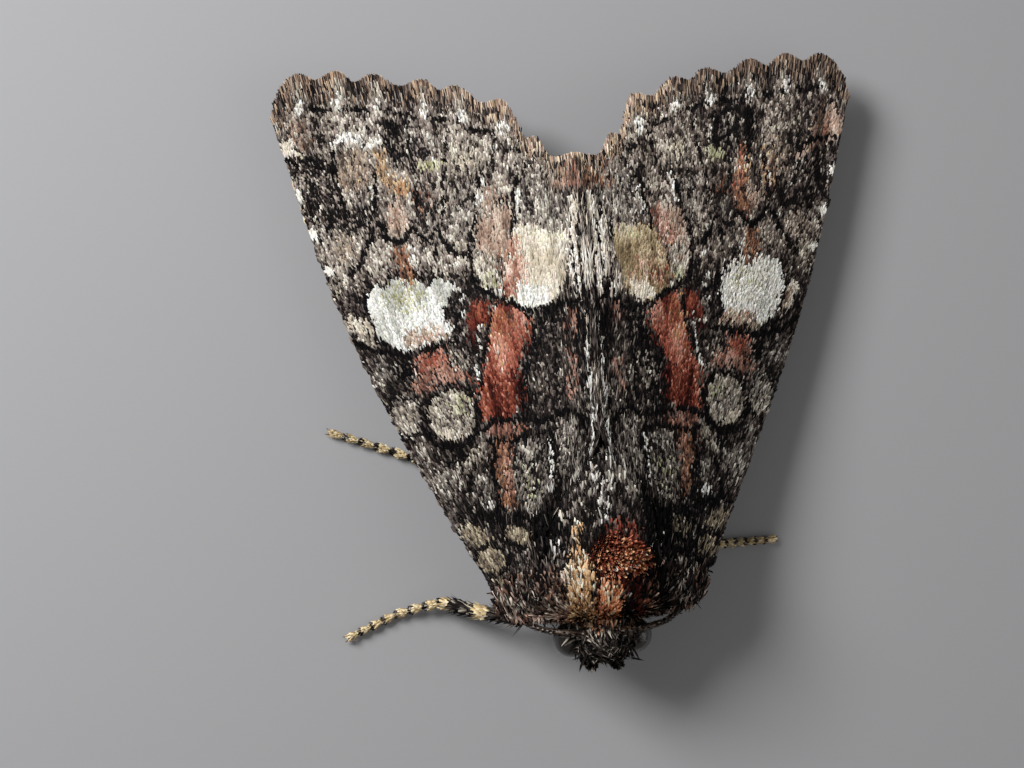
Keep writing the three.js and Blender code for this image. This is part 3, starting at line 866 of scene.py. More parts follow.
# Black lines: across the wing at each end of the middle field, and along the hind margin.
LINES = (
    area(SOOT, 0.15, 0.28, (0.4, -0.95), (2, -0.95), (2, -2.9), (0.4, -2.9)),
    area(SOOT, 0.1, 0.3, (0.4, 1.7), (1.5, 1.6), (1.75, -0.8), (0.4, -0.8)),
    line(
        BLACK, 0.02, 1, 0.065, (0.06, 1.94), (0.34, 1.85), (0.64, 1.8), (0.95, 1.72), (1.32, 1.63),
        (1.62, 1.71), (2, 1.92), (2.3, 2.06), (2.56, 2.24), (2.7, 2.6),
    ),
    oval(BLACK, 0.04, 0.95, (1.15, 1.58), (0.4, 0.12)),
    line(BLACK, 0.03, 0.9, 0.065, (2.64, 3.7), (2.72, 3.1), (2.68, 2.55)),
    line(BLACK, 0.02, 0.95, 0.06, (2.72, 3.02), (2.9, 3.14), (3.1, 3.16), (3.28, 3.4), (3.42, 3.76)),
    line(BLACK, 0.02, 0.95, 0.055, (3.48, 3.8), (3.64, 3.62), (3.86, 3.65), (4.02, 3.88)),
    line(BLACK, 0.02, 1, 0.07, (4.08, 3.88), (4.22, 3.66), (4.42, 3.55), (4.68, 3.68), (4.86, 4.02)),
    line(BLACK, 0.03, 0.95, 0.075, (5.02, 3.9), (5.18, 3.52), (5.4, 3.12), (5.62, 2.84)),
    line(BLACK, 0.04, 0.95, (0.16, 0.06), (4.62, 6.4), (4.56, 5.8), (4.44, 5.15), side=LEFT),
    line(BLACK, 0.05, 0.85, 0.08, (5.9, 5.46), (6.4, 5.74), (7.1, 5.72)),
    line(BLACK, 0.02, 0.75, 0.04, (3.08, 6.3), (3.16, 5.7), (3.3, 4.6), (3.38, 3.9)),
    line(BLACK, 0.02, 0.85, 0.045, (2.4, 5), (2.54, 4.3), (2.62, 3.7)),
    line(BLACK, 0.03, 0.8, 0.05, (4.88, 5.3), (4.94, 4.6), (5.02, 4.1)),
    line(BLACK, 0.03, 0.85, 0.05, (1.58, 4.7), (1.66, 4), (1.72, 3.5)),
    line(BLACK, 0.03, 0.8, 0.05, (5.9, 5.9), (5.92, 5.3), (5.7, 4.6)),
    line(BLACK, 0.04, 0.75, 0.06, (1.02, 5.5), (1.4, 5), (1.6, 4.6)),
    line(
        BLACK, 0.03, 0.95, 0.075, (3.02, 1.04), (3.5, 0.97), (4.1, 0.8), (4.6, 0.74), (5.1, 0.92),
        (5.6, 1.14),
    ),
    oval(BLACK, 0.08, 0.8, (4.45, 0.42), (0.24, 0.26)),
    line(
        BLACK, 0.02, 0.95, 0.07, (0.1, -1.36), (0.42, -0.92), (0.7, -0.76), (1.1, -0.98), (1.6, -0.94),
        (2.4, -0.96), (2.8, -1.22), (3.24, -1.56), (3.8, -1.52), (4.08, -1.1),
    ),
    line(BLACK, 0.03, 0.9, 0.06, (1.16, -1.26), (1.7, -1.34), (2.2, -1.46), (2.6, -1.4)),
    oval(BLACK, 0.05, 0.9, (3.3, -1.86), (0.26, 0.16), -30),
    line(BLACK, 0.04, 0.9, (0.07, 0.1), (1.12, -1.2), (1.1, -2.2), (1.04, -3.2)),
    line(BLACK, 0.04, 0.9, 0.075, (2.44, -1.52), (2.46, -2.3), (2.34, -3.1)),
    line(BLACK, 0.04, 0.8, 0.07, (3.02, -2.2), (3.16, -2.8), (3.1, -3.3)),
    line(BLACK, 0.05, 0.9, 0.13, (1.2, -3.3), (1.9, -3.34), (2.5, -3.28), (3.3, -3.24)),
    oval(BLACK, 0.08, 0.85, (1.34, -3.52), (0.34, 0.3)),
)

# White and cream points along the edges and veins.
POINTS = (
    *dots(FROST, 1, (0.15, 0.1), 60, (6.82, 4.9), (6.48, 3.9), (6.14, 2.96)),
    *dots(
        BLACK, 1, (0.34, 0.08), 8, (1.36, 5.6), (2.24, 6.2), (3.2, 6.56), (4.18, 6.74), (5.28, 6.9),
        (6.22, 6.98),
    ),
    *dots(
        SILVER, 0.6, (0.12, 0.24), -8, (1.7, 6.2), (2.7, 6.66), (3.6, 6.84), (4.74, 6.98), (5.7, 7.14),
        (6.66, 7.1),
    ),
    *dots(
        SILVER, 1, (0.07, 0.06), 0, (3.1, 2.26), (2.98, 2.06), (3.02, 1.72), (3.08, 2.86), (0.3, 3.3),
        (2.12, 2.16),
    ),
    *(
        line(BLACK, 0.02, 0.8, 0.04, *path)
        for path in (
            ((0.3, 1.95), (0.34, 2.8), (0.28, 3.9)), ((0.28, 1.7), (0.26, 0.2), (0.3, -1.2)),
            ((0.92, 1.6), (0.96, -0.7)), ((4.05, 6.6), (3.98, 5.6), (3.92, 4.4)),
            ((1.95, 6.1), (2.02, 5.2)), ((3.62, 3.6), (3.55, 2.9)),
        )
    ),
    *(
        line(SILVER, 0.01, 0.55, 0.035, *path)
        for path in (
            ((0.16, 0.9), (0.18, -1), (0.2, -2.6)), ((2.6, 1.4), (2.74, 0)), ((1.14, -1.4), (1.2, -2.7)),
            ((3.56, 6.3), (3.44, 5.5)), ((5, 5.2), (5.02, 4.4)), ((2.3, 5), (2.46, 4.2)),
            ((1.5, 4.6), (1.56, 3.9)), ((4.1, 3.4), (4.05, 2.8)),
        )
    ),
)

# Thorax and head: a tan band each side of the salmon middle, which on the left is painted dark wine, partly
# dark red and partly painted shade; the red crest behind it; and painted shadow over the left side of the
# thorax and shoulder.
BODY_MARKS = (
    area(BARK, 0.15, 0.85, (0.9, -4.5), (2.2, -4.8), (2.9, -5.2), (2.9, -6.2), (0.8, -6.2)),
    area(BLACK, 0.1, 0.75, (0.9, -3.3), (1.7, -3.4), (1.7, -4), (1.2, -4.3), (0.9, -4)),
    area(
        STRAW, 0.07, 0.95, (0.44, -4.2), (0.8, -4.1), (0.92, -4.6), (0.98, -5.6), (1, -6.15), (0.24, -6.1),
        (0.34, -5.2), side=RIGHT,
    ),
    area(SALMON, 0.05, 0.97, (0, -4.7), (0.24, -4.75), (0.3, -5.4), (0.24, -6.02), (0, -6.05)),
    # partly dark red and partly painted shade: on the left side the tan band's place is dark wine
    area(WINE, 0.1, 0.8, (0.34, -4.9), (0.85, -4.95), (0.8, -5.8), (0.4, -5.9), side=LEFT),
    oval(RUST, 0.08, 0.5, (0.98, -5.3), (0.16, 0.5), side=LEFT),
    oval(BLUSH, 0.2, 0.42, (1.45, -5.75), (0.5, 0.26), side=RIGHT),
    oval(GREY, 0.2, 0.4, (1.9, -5.2), (0.6, 0.34)),
    oval(SILVER, 0.05, 0.6, (1.16, -4), (0.1, 0.16)),
    oval(STRAW, 0.06, 0.6, (0.7, -3.7), (0.16, 0.3), side=RIGHT),
    line(SILVER, 0.04, 0.4, 0.06, (0.06, -2.4), (0.1, -3.4)),
    oval(BRICK, 0.14, 0.6, (0.4, -3.8), (0.4, 0.26), side=LEFT),
    oval(WINE, 0.12, 0.9, (0.3, -4.4), (0.72, 0.55), side=LEFT),
    oval(WINE, 0.12, 0.9, (0, -4.4), (0.4, 0.5), side=RIGHT),
    # painted shadow: the left side of the thorax and shoulder is darkened as if in shade
    area(BLACK, 0.2, 0.5, (0.9, -2.8), (2.8, -3.2), (2.9, -6.2), (0.9, -6.2), side=LEFT),
    area(SOOT, 0.06, 1, (0, -6.25), (1.2, -6.25), (1.2, -7.6), (0, -7.6)),
)

TOP_PATTERN = Pattern(GROUND, FIELDS + REDS + PALES + LINES + POINTS + BODY_MARKS, seed=20)
UNDER_PATTERN = Pattern(
    SMOKE,
    (
        area(DRAB, 0.5, 0.55, (0.3, -3.5), (2.4, -4.2), (4.2, 0), (4.6, 3), (1, 4)),
        line(BUFF, 0.2, 0.5, 0.16, (2.6, -4.2), (4.4, -0.6), (6, 3.4), (6.9, 5.8)),
        oval(DARK, 0.1, 0.8, (4, 2), (0.34, 0.42)),
        line(DARK, 0.12, 0.65, 0.14, (1.2, 3.4), (3, 3.9), (4.6, 3.8), (6, 3)),
        line(BUFF, 0.12, 0.45, 0.1, (1.3, 4.9), (3.2, 5.4), (5.2, 5.5), (6.6, 4.7)),
        *dots(CREAM, 1, (0.17, 0.12), 60, (6.58, 4.7), (6.24, 3.78), (5.86, 2.88), (5.2, 1.3)),
    ),
    seed=40,
)
HIND_PATTERN = Pattern(
    SMOKE,
    (
        area(DRAB, 0.4, 0.7, (0.8, -2.5), (2.6, -2.2), (3.4, 1.2), (2.6, 3), (0.8, 3.4)),
        line(DARK, 0.25, 0.55, 0.36, (1.2, 4.9), (2.8, 5.2), (4, 4.6)),
        oval(DARK, 0.1, 0.6, (2.7, 1.9), (0.2, 0.26)),
    ),
    seed=60,
)


# ---- meshes


def shaped_grid(columns: int, rows: int, place: Callable[[Array, Array], Array]) -> BMesh:
    """Bends a flat grid into a shape.

    Args:
        columns: Faces across.
        rows: Faces along.
        place: Gives the points for the shares across and along, each from 0 to 1.

    Returns:
        The bent grid, its meeting edges joined and its faces outwards.
    """
    bm = bmesh.new()
    bmesh.ops.create_grid(bm, x_segments=columns, y_segments=rows, size=0.5)
    flat = np.array([vertex.co[:2] for vertex in bm.verts]) + 0.5
    for vertex, point in zip(bm.verts, place(flat[:, 0], flat[:, 1])):
        vertex.co = point
    bmesh.ops.remove_doubles(bm, verts=bm.verts, dist=1e-4)
    bmesh.ops.recalc_face_normals(bm, faces=bm.faces)
    return bm


def join(bm: BMesh, other: BMesh) -> None:
    """Adds another bmesh to this one and frees it.

    Args:
        bm: The mesh that grows.
        other: The mesh that is added.
    """
    spare = bpy.data.meshes.new("spare")
    other.to_mesh(spare)
    other.free()
    bm.from_mesh(spare)
    bpy.data.meshes.remove(spare)


def corner_points(mesh: Mesh) -> Array:
    """Reads a mesh's vertices.

    Args:
        mesh: The mesh.

    Returns:
        One row for each vertex.
    """
    points = np.empty(len(mesh.vertices) * 3)
    mesh.vertices.foreach_get("co", points)
    return points.reshape(-1, 3)


def packed_shift() -> Vector:
    """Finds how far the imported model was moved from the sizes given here, by where an eye is."""
    low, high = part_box("eye_left")
    return Vector((0.0, (low[1] + high[1]) / 2 / METRES - EYE_CENTRE[1], 0.0))


def show(mesh: Mesh, material: Material, slot: str, nodes: Iterable[str] = ()) -> None:
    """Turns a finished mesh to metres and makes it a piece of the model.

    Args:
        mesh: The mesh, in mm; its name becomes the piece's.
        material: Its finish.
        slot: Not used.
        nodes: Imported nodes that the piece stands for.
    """
    mesh.transform(Matrix.Scale(METRES, 4) @ Matrix.Translation(packed_shift()))
    mesh.materials.append(material)
    piece = bpy.data.objects.new(mesh.name, mesh)
    bpy.context.scene.collection.objects.link(piece)
    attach(piece, "root")
    if nodes:
        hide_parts(*nodes)
    log.info("%s: %d faces", piece.name, len(mesh.polygons))


def finished_mesh(bm: BMesh, name: str) -> Mesh:
    """Ends a bmesh as a smoothly shaded mesh.

    Args:
        bm: The bmesh, which is freed.
        name: The mesh's name.

    Returns:
        The mesh.
    """
    mesh = bpy.data.meshes.new(name)
    bm.to_mesh(mesh)
    bm.free()
    mesh.polygons.foreach_set("use_smooth", [True] * len(mesh.polygons))
    return mesh


def set_pigment(mesh: Mesh, colours: Array) -> None:
    """Stores one linear colour for each vertex."""
    pigment = mesh.attributes.new("pigment", "FLOAT_COLOR", "POINT")
    pigment.data.foreach_set("color", np.column_stack((colours, np.ones(len(colours)))).ravel())


# ---- scales and locks of hair


@dataclass(frozen=True)
class Form:
    """The shape of one scale or lock: its points across, along and upwards, and its triangles."""

    points: Array
    triangles: Array

    @classmethod
    def of(cls, bm: BMesh) -> "Form":
        """Reads a form from a bmesh and frees it.

        Args:
            bm: Its shape, a unit long.

        Returns:
            The form.
        """
        bmesh.ops.recalc_face_normals(bm, faces=bm.faces)
        bmesh.ops.triangulate(bm, faces=bm.faces)
        bm.verts.index_update()
        points = np.array([vertex.co for vertex in bm.verts])
        triangles = np.array([[vertex.index for vertex in face.verts] for face in bm.faces])
        bm.free()
        return cls(points, triangles)

    @classmethod
    def scale(cls) -> "Form":
        """Shapes one scale: a thin closed plate, narrow at its root and broad near its end.

        Returns:
            The form.
        """
        outline = ((0.0, 0.0), (0.46, 0.52), (0.34, 0.96), (-0.34, 1.0), (-0.46, 0.50))
        middle_y = 0.60
        bm = bmesh.new()
        bmesh.ops.create_cone(bm, cap_ends=True, cap_tris=True, segments=5, radius1=1, radius2=0, depth=1)
        rim = [vertex for vertex in bm.verts if math.hypot(*vertex.co.xy) > 0.5]
        rim.sort(key=lambda vertex: math.atan2(vertex.co.y, vertex.co.x))
        for vertex in bm.verts:
            vertex.co = (0.0, middle_y, vertex.co.z)
        for vertex, (across, along) in zip(rim, outline):
            vertex.co = (across, along, 0.0)
        return cls.of(bm)

    @classmethod
    def lock(cls) -> "Form":
        """Shapes one lock of hair: three-sided, fullest past its root and drawn to a point.

        Returns:
            The form.
        """
        bm = bmesh.new()
        bmesh.ops.create_cone(bm, cap_ends=True, segments=3, radius1=0.42, radius2=0, depth=1)
        bmesh.ops.translate(bm, verts=bm.verts, vec=(0, 0, 0.5))
        everything = bm.verts[:] + bm.edges[:] + bm.faces[:]
        cut = bmesh.ops.bisect_plane(bm, geom=everything, plane_co=(0, 0, 0.5), plane_no=(0, 0, 1))
        ring = [piece for piece in cut["geom_cut"] if isinstance(piece, bmesh.types.BMVert)]
        bmesh.ops.scale(bm, verts=ring, vec=(2.3, 2.3, 1))
        bmesh.ops.rotate(bm, verts=bm.verts, cent=(0, 0, 0), matrix=Matrix.Rotation(-math.pi / 2, 3, "X"))
        return cls.of(bm)


@dataclass
class Tufts:
    """Many scales or locks of one form, in mm, before they are meshed."""

    root: Array
    ahead: Array
    above: Array
    length: Array
    width: Array
    bend: Array  # how far the tip bends upwards, as a share of the length
    colour: Array
    tip_colour: Array
    spot: Array  # the root's place on the unwrap of the skin, from 0 to 1 each way
    thick: float
    rows = ("root", "ahead", "above", "length", "width", "bend", "colour", "tip_colour", "spot")

    @classmethod
    def joined(cls, groups: Iterable["Tufts"]) -> "Tufts":
        """Joins groups of one form.

        Args:
            groups: The groups.

        Returns:
            One group with all of them.
        """
        groups = list(groups)
        rows = (np.concatenate([vars(group)[row] for group in groups]) for row in cls.rows)
        return cls(*rows, groups[0].thick)

    def thinned(self, keep: Array) -> "Tufts":
        """Keeps the scales for which keep is true."""
        return Tufts(*(vars(self)[row][keep] for row in self.rows), self.thick)

    def mesh(self, name: str, form: Form) -> Mesh:
        """Meshes all the scales as one.

        Args:
            name: The mesh's name.
            form: The shape that each one takes.

        Returns:
            The mesh, in mm, with its pigment, reach and bake map.
        """
        count, corners = len(self.root), len(form.points)
        ahead = unit(self.ahead)
        across = unit(np.cross(ahead, self.above))
        above = np.cross(across, ahead)
        share_x, share_y, share_z = form.points.T
        reach = self.length[:, None] * share_y
        rise = self.bend[:, None] * self.length[:, None] * share_y**2 + self.thick * share_z
        points = (
            self.root[:, None, :]
            + reach[..., None] * ahead[:, None, :]
            + (self.width[:, None] * share_x)[..., None] * across[:, None, :]
            + rise[..., None] * above[:, None, :]
        )
        triangles = (form.triangles[None] + (np.arange(count) * corners)[:, None, None]).reshape(-1, 3)
        mesh = bpy.data.meshes.new(name)
        mesh.vertices.add(count * corners)
        mesh.vertices.foreach_set("co", points.astype(np.float32).ravel())
        mesh.loops.add(triangles.size)
        mesh.loops.foreach_set("vertex_index", triangles.astype(np.int32).ravel())
        mesh.polygons.add(len(triangles))
        mesh.polygons.foreach_set("loop_start", np.arange(0, triangles.size, 3, dtype=np.int32))
        mesh.update(calc_edges=True)
        mesh.polygons.foreach_set("use_smooth", [False] * len(mesh.polygons))
        tip_share = smooth_step(share_y, 0.55, 1.0)[None, :, None]
        colours = blend(self.colour[:, None, :], self.tip_colour[:, None, :], tip_share)
        set_pigment(mesh, colours.reshape(-1, 3))
        mesh.attributes.new("reach", "FLOAT", "POINT").data.foreach_set("value", np.tile(share_y, count))
        spread = np.column_stack((share_x, share_y - 0.5)) * PATCH
        spots = (self.spot[:, None, :] + spread[None]).reshape(-1, 2)
        bake_map = mesh.uv_layers.new(name=BAKE_MAP)
        bake_map.data.foreach_set("uv", spots[triangles.ravel()].astype(np.float32).ravel())
        return mesh


def paler(colour: Array, amount: float) -> Array:
    """Lightens linear colours by the given share, as scales are at their tips."""
    return np.minimum(colour * (1 + 3 * amount), PALEST)


@dataclass(frozen=True)
class Lie:
    """How the scales of a stretch of coat lie: their size, and how much they differ and stand out."""

    length: Spot  # shortest and longest, in mm
    width: Spot
    lift: Spot  # degrees out of the skin
    yaw: float = 8.0  # degrees to each side
    roll: float = 12.0
    bend: Spot = (-0.04, 0.04)

    def grow(
        self, root: Array, ahead: Array, above: Array, colour: Array, spot: Array, rng: Random,
        pale: float = 0.0, size: Values = 1.0, thick: float = 0.016,
    ) -> Tufts:
        """Lays a scale at each root.

        Args:
            root: Places on the skin, in mm.
            ahead: Directions along the coat, on the skin.
            above: The skin's outward directions.
            colour: Linear colours.
            spot: Places on the unwrap.
            rng: Random numbers.
            pale: How much paler the tips are, as a share.
            size: Makes all or each of them larger or smaller.
            thick: Their thickness, in mm.

        Returns:
            The scales.
        """
        count = len(root)
        ahead, above = unit(ahead), unit(above)
        across = unit(np.cross(ahead, above))
        above = np.cross(across, ahead)
        yaw = np.radians(rng.normal(0, self.yaw, count))[:, None]
        lift = np.radians(rng.uniform(*self.lift, count))[:, None]
        roll = np.radians(rng.normal(0, self.roll, count))[:, None]
        ahead = ahead * np.cos(yaw) + across * np.sin(yaw)
        across = np.cross(ahead, above)
        raised = ahead * np.cos(lift) + above * np.sin(lift)
        above = above * np.cos(lift) - ahead * np.sin(lift)
        above = above * np.cos(roll) + across * np.sin(roll)
        length, width = rng.uniform(*self.length, count) * size, rng.uniform(*self.width, count) * size
        bend = rng.uniform(*self.bend, count)
        return Tufts(root, raised, above, length, width, bend, colour, paler(colour, pale), spot, thick)


# ---- the wings' forms


@dataclass(frozen=True)
class Roof:
    """The closed forewings' common form: two costal edges and a ridge, in mm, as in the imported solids."""

    tip_x: float
    base_y: float = -4.9
    tip_y: float = 6.8
    base_x: float = 2.75
    bulge: float = 0.55
    ridge: float = 3.62
    ridge_start: float = -1.5
    ridge_fall: float = 0.028
    costa: float = 1.0
    costa_rise: float = 1.4
    costa_rise_length: float = 2.6
    roundness: float = 0.4

    def costa_x(self, y: Array) -> Array:
        """Says how far from the midline the costal edge is at each y."""
        share = (y - self.base_y) / (self.tip_y - self.base_y)
        return blend(self.base_x, self.tip_x, share) + self.bulge * np.sin(np.pi * np.clip(share, 0, 1))

    def height(self, x: Array, y: Array) -> Array:
        """Gives the height of the roof over the ground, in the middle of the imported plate's thickness.

        Args:
            x: Distances from the midline.
            y: Places along.

        Returns:
            Heights in mm.
        """
        ridge = self.ridge - self.ridge_fall * np.maximum(0, y - self.ridge_start) ** 2
        edge = self.costa + self.costa_rise * np.exp(-(y - self.base_y) / self.costa_rise_length)
        across = np.abs(x) / self.costa_x(y)
        return ridge - (ridge - edge) * blend(across, across * across, self.roundness)


def inner_gap(y: Array) -> Array:
    """Says how far the forewings' inner margins stand off the midline, beside the thorax, at each y."""
    return 1.5 * smooth_step(-y, 1.3, 4.2)


class Blade:
    """A wing as a four-sided patch: s runs from its root to its hind margin, t from inner to outer edge."""

    def __init__(self, side: Side, roof: Roof) -> None:
        """Takes the wing's side and the roof that it lies in."""
        self.side = side
        self.roof = roof

    def inner(self, s: Array) -> Array:
        """Follows the inner margin."""
        raise NotImplementedError

    def costal(self, s: Array) -> Array:
        """Follows the costal margin."""
        raise NotImplementedError

    def hind(self, t: Array) -> Array:
        """Follows the hind margin."""
        raise NotImplementedError

    def drop(self, s: Array, t: Array) -> Array:
        """Says how far below the roof the blade's upper face lies."""
        raise NotImplementedError

    def plan(self, s: Array, t: Array) -> Array:
        """Finds points of the blade in plan.

        Args:
            s: Shares from root to margin.
            t: Shares from inner to outer edge.

        Returns:
            X and Y of each point, on the +X side.
        """
        s, t = np.asarray(s, float), np.asarray(t, float)
        along, across = s[..., None], t[..., None]
        root = blend(self.inner(np.zeros(1)), self.costal(np.zeros(1)), across)
        end = blend(self.inner(np.ones(1)), self.costal(np.ones(1)), across)
        sides = self.inner(s) * (1 - across) + self.costal(s) * across
        ends = root * (1 - along) + self.hind(t) * along
        return sides + ends - blend(root, end, along)

    def surface(self, s: Array, t: Array, rise: Values = 0.0) -> Array:
        """Finds points of the blade's upper face.

        Args:
            s: Shares from root to margin.
            t: Shares from inner to outer edge.
            rise: How far above the face, in mm.

        Returns:
            Points in mm, on this wing's own side.
        """
        flat = self.plan(s, t)
        z = self.roof.height(flat[..., 0], flat[..., 1]) - self.drop(s, t) + rise
        return np.stack((flat[..., 0] * self.side.value, flat[..., 1], z), axis=-1)

    def axes(self, s: Array, t: Array) -> tuple[Array, Array]:
        """Finds the way along the scales and the way up.

        Args:
            s: Shares from root to margin.
            t: Shares from inner to outer edge.

        Returns:
            Unit vectors along the blade towards its margin, and out of its upper face.
        """
        step = 0.004
        ahead = unit(self.surface(s + step, t) - self.surface(s - step, t))
        across = self.surface(s, np.minimum(t + step, 1)) - self.surface(s, np.maximum(t - step, 0))
        above = unit(np.cross(across, ahead))
        return ahead, above * np.sign(above[:, 2:])

    def spots(self, s: Array, t: Array) -> Array:
        """Unwraps points of the blade, with a narrow margin all round."""
        margin = 0.01
        return np.column_stack((t, s)) * (1 - 2 * margin) + margin

    def rows(self, pitch: float, gap: float, rng: Random) -> tuple[Array, Array]:
        """Spaces roots evenly in rows, as shingles, from the wing's root to the membrane's end.

        Args:
            pitch: Distance between scales in a row, in mm.
            gap: Distance between rows, in mm.
            rng: Random numbers.

        Returns:
            The shares s and t of each root.
        """
        middle = self.plan(np.linspace(0, self.membrane_end, 40), np.full(40, 0.5))
        length = np.linalg.norm(np.diff(middle, axis=0), axis=1).sum()
        levels = np.linspace(0, self.membrane_end, int(length / gap))
        edges = self.plan(np.tile(levels, 2), np.repeat((0.0, 1.0), len(levels)))
        widths = np.linalg.norm(edges[len(levels):] - edges[: len(levels)], axis=1)
        numbers = np.maximum((widths / pitch).astype(int), 1)
        row = np.repeat(np.arange(len(levels)), numbers)
        place = np.arange(len(row)) - np.repeat(np.cumsum(numbers) - numbers, numbers)
        jitter = rng.uniform(-0.45, 0.45, (2, len(row)))
        t = (place + 0.5 + 0.25 * (-1) ** row + jitter[0] * 0.9) / numbers[row]
        s = levels[row] + jitter[1] * (levels[1] - levels[0])
        return np.clip(s, 0, self.membrane_end), np.clip(t, 0.002, 0.998)

    def shell(self, columns: int, rows: int) -> BMesh:
        """Makes the membrane.

        Args:
            columns: Faces across.
            rows: Faces along.

        Returns:
            A closed thin plate.
        """
        reach = self.membrane_end + 0.005
        bm = shaped_grid(columns, rows, lambda u, v: self.surface(v * reach, 0.004 + u * 0.992))
        if sum(face.normal.z for face in bm.faces) < 0:
            bmesh.ops.reverse_faces(bm, faces=bm.faces)
        bmesh.ops.solidify(bm, geom=bm.faces[:], thickness=MEMBRANE)
        bm.verts.index_update()
        corners, count = {face: [vert.index for vert in face.verts] for face in bm.faces}, len(bm.verts)
        bm.faces.sort(key=lambda face: min(corners[face]) * count + max(corners[face]))  # the rim has no order
        bmesh.ops.recalc_face_normals(bm, faces=bm.faces)
        return bm


class Forewing(Blade):
    """A forewing: roof-like, with a scalloped hind margin."""

    # the hind margin, from the midline to the apex: each bulge of the fringe and the notch after it in turn
    margin = np.array((
        (0.03, 5.48), (0.64, 5.42), (0.95, 5.93), (1.24, 5.95), (1.62, 6.92), (2.2, 6.93), (2.75, 7.38),
        (3.2, 7.3), (3.62, 7.6), (4.18, 7.46), (4.8, 7.8), (5.28, 7.62), (5.74, 7.92), (6.22, 7.72),
        (6.72, 7.88), (7.15, 7.45), (7.3, 6.8),
    ))
    membrane_end = 0.958  # the fringe takes the rest
    coat_depth = 0.12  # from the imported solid's upper face down to the membrane
    half_plate = 0.28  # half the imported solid's thickness

    def inner(self, s: Array) -> Array:
        """Follows the inner margin: beside the thorax first, then along the midline."""
        y = blend(self.roof.base_y, self.margin[0, 1], s)
        return np.stack((self.margin[0, 0] + inner_gap(y), y), axis=-1)

    def costal(self, s: Array) -> Array:
        """Follows the costal margin."""
        y = blend(self.roof.base_y, self.roof.tip_y, s)
        return np.stack((self.roof.costa_x(y), y), axis=-1)

    def hind(self, t: Array) -> Array:
        """Follows the scalloped hind margin."""
        return through(self.margin, t)

    def drop(self, s: Array, t: Array) -> Array:
        """Says how far below the roof the membrane lies; the veins leave shallow pleats near the margin."""
        pleat = -0.03 * np.cos(np.pi * (len(self.margin) - 1) * t) * smooth_step(s, 0.55, 0.85)
        return self.coat_depth - self.half_plate + 0.04 + pleat

    def axes(self, s: Array, t: Array) -> tuple[Array, Array]:
        """Finds the way along the scales and the way up; by the thorax the scales run straight back.

        Args:
            s: Shares from root to margin.
            t: Shares from inner to outer edge.

        Returns:
            Unit vectors along the blade towards its margin, and out of its upper face.
        """
        ahead, above = super().axes(s, t)
        share = 0.85 * (1 - smooth_step(s, 0.22, 0.50)) * (1 - smooth_step(t, 0.10, 0.55))
        straight = TAILWARD - above * above[:, 1:2]
        return unit(blend(ahead, straight, share[:, None])), above


class Hindwing(Blade):
    """A hindwing: folded flat under the forewing, beside the abdomen."""

    # where each edge starts, the point that bends it, and where it ends
    inner_edge = np.array(((1.42, -2.3), (1.4, 1.2), (0.97, 4.6)))
    hind_edge = np.array(((0.97, 4.6), (2.9, 6.5), (4.35, 5.0)))
    outer_edge = np.array(((1.42 + 0.7, -2.3), (3.3, 0.6), (4.35, 5.0)))
    below_roof = 0.55
    membrane_end = 0.93

    def inner(self, s: Array) -> Array:
        """Follows the inner margin."""
        return quadratic(*self.inner_edge, s)

    def costal(self, s: Array) -> Array:
        """Follows the outer edge."""
        return quadratic(*self.outer_edge, s)

    def hind(self, t: Array) -> Array:
        """Follows the hind margin."""
        return quadratic(*self.hind_edge, t)

    def drop(self, s: Array, t: Array) -> Array:
        """Says how far below the roof the membrane lies."""
        return self.below_roof + 0.03 * np.cos(2 * np.pi * 5 * t) * smooth_step(s, 0.2, 0.6)


# ---- the wings' coats


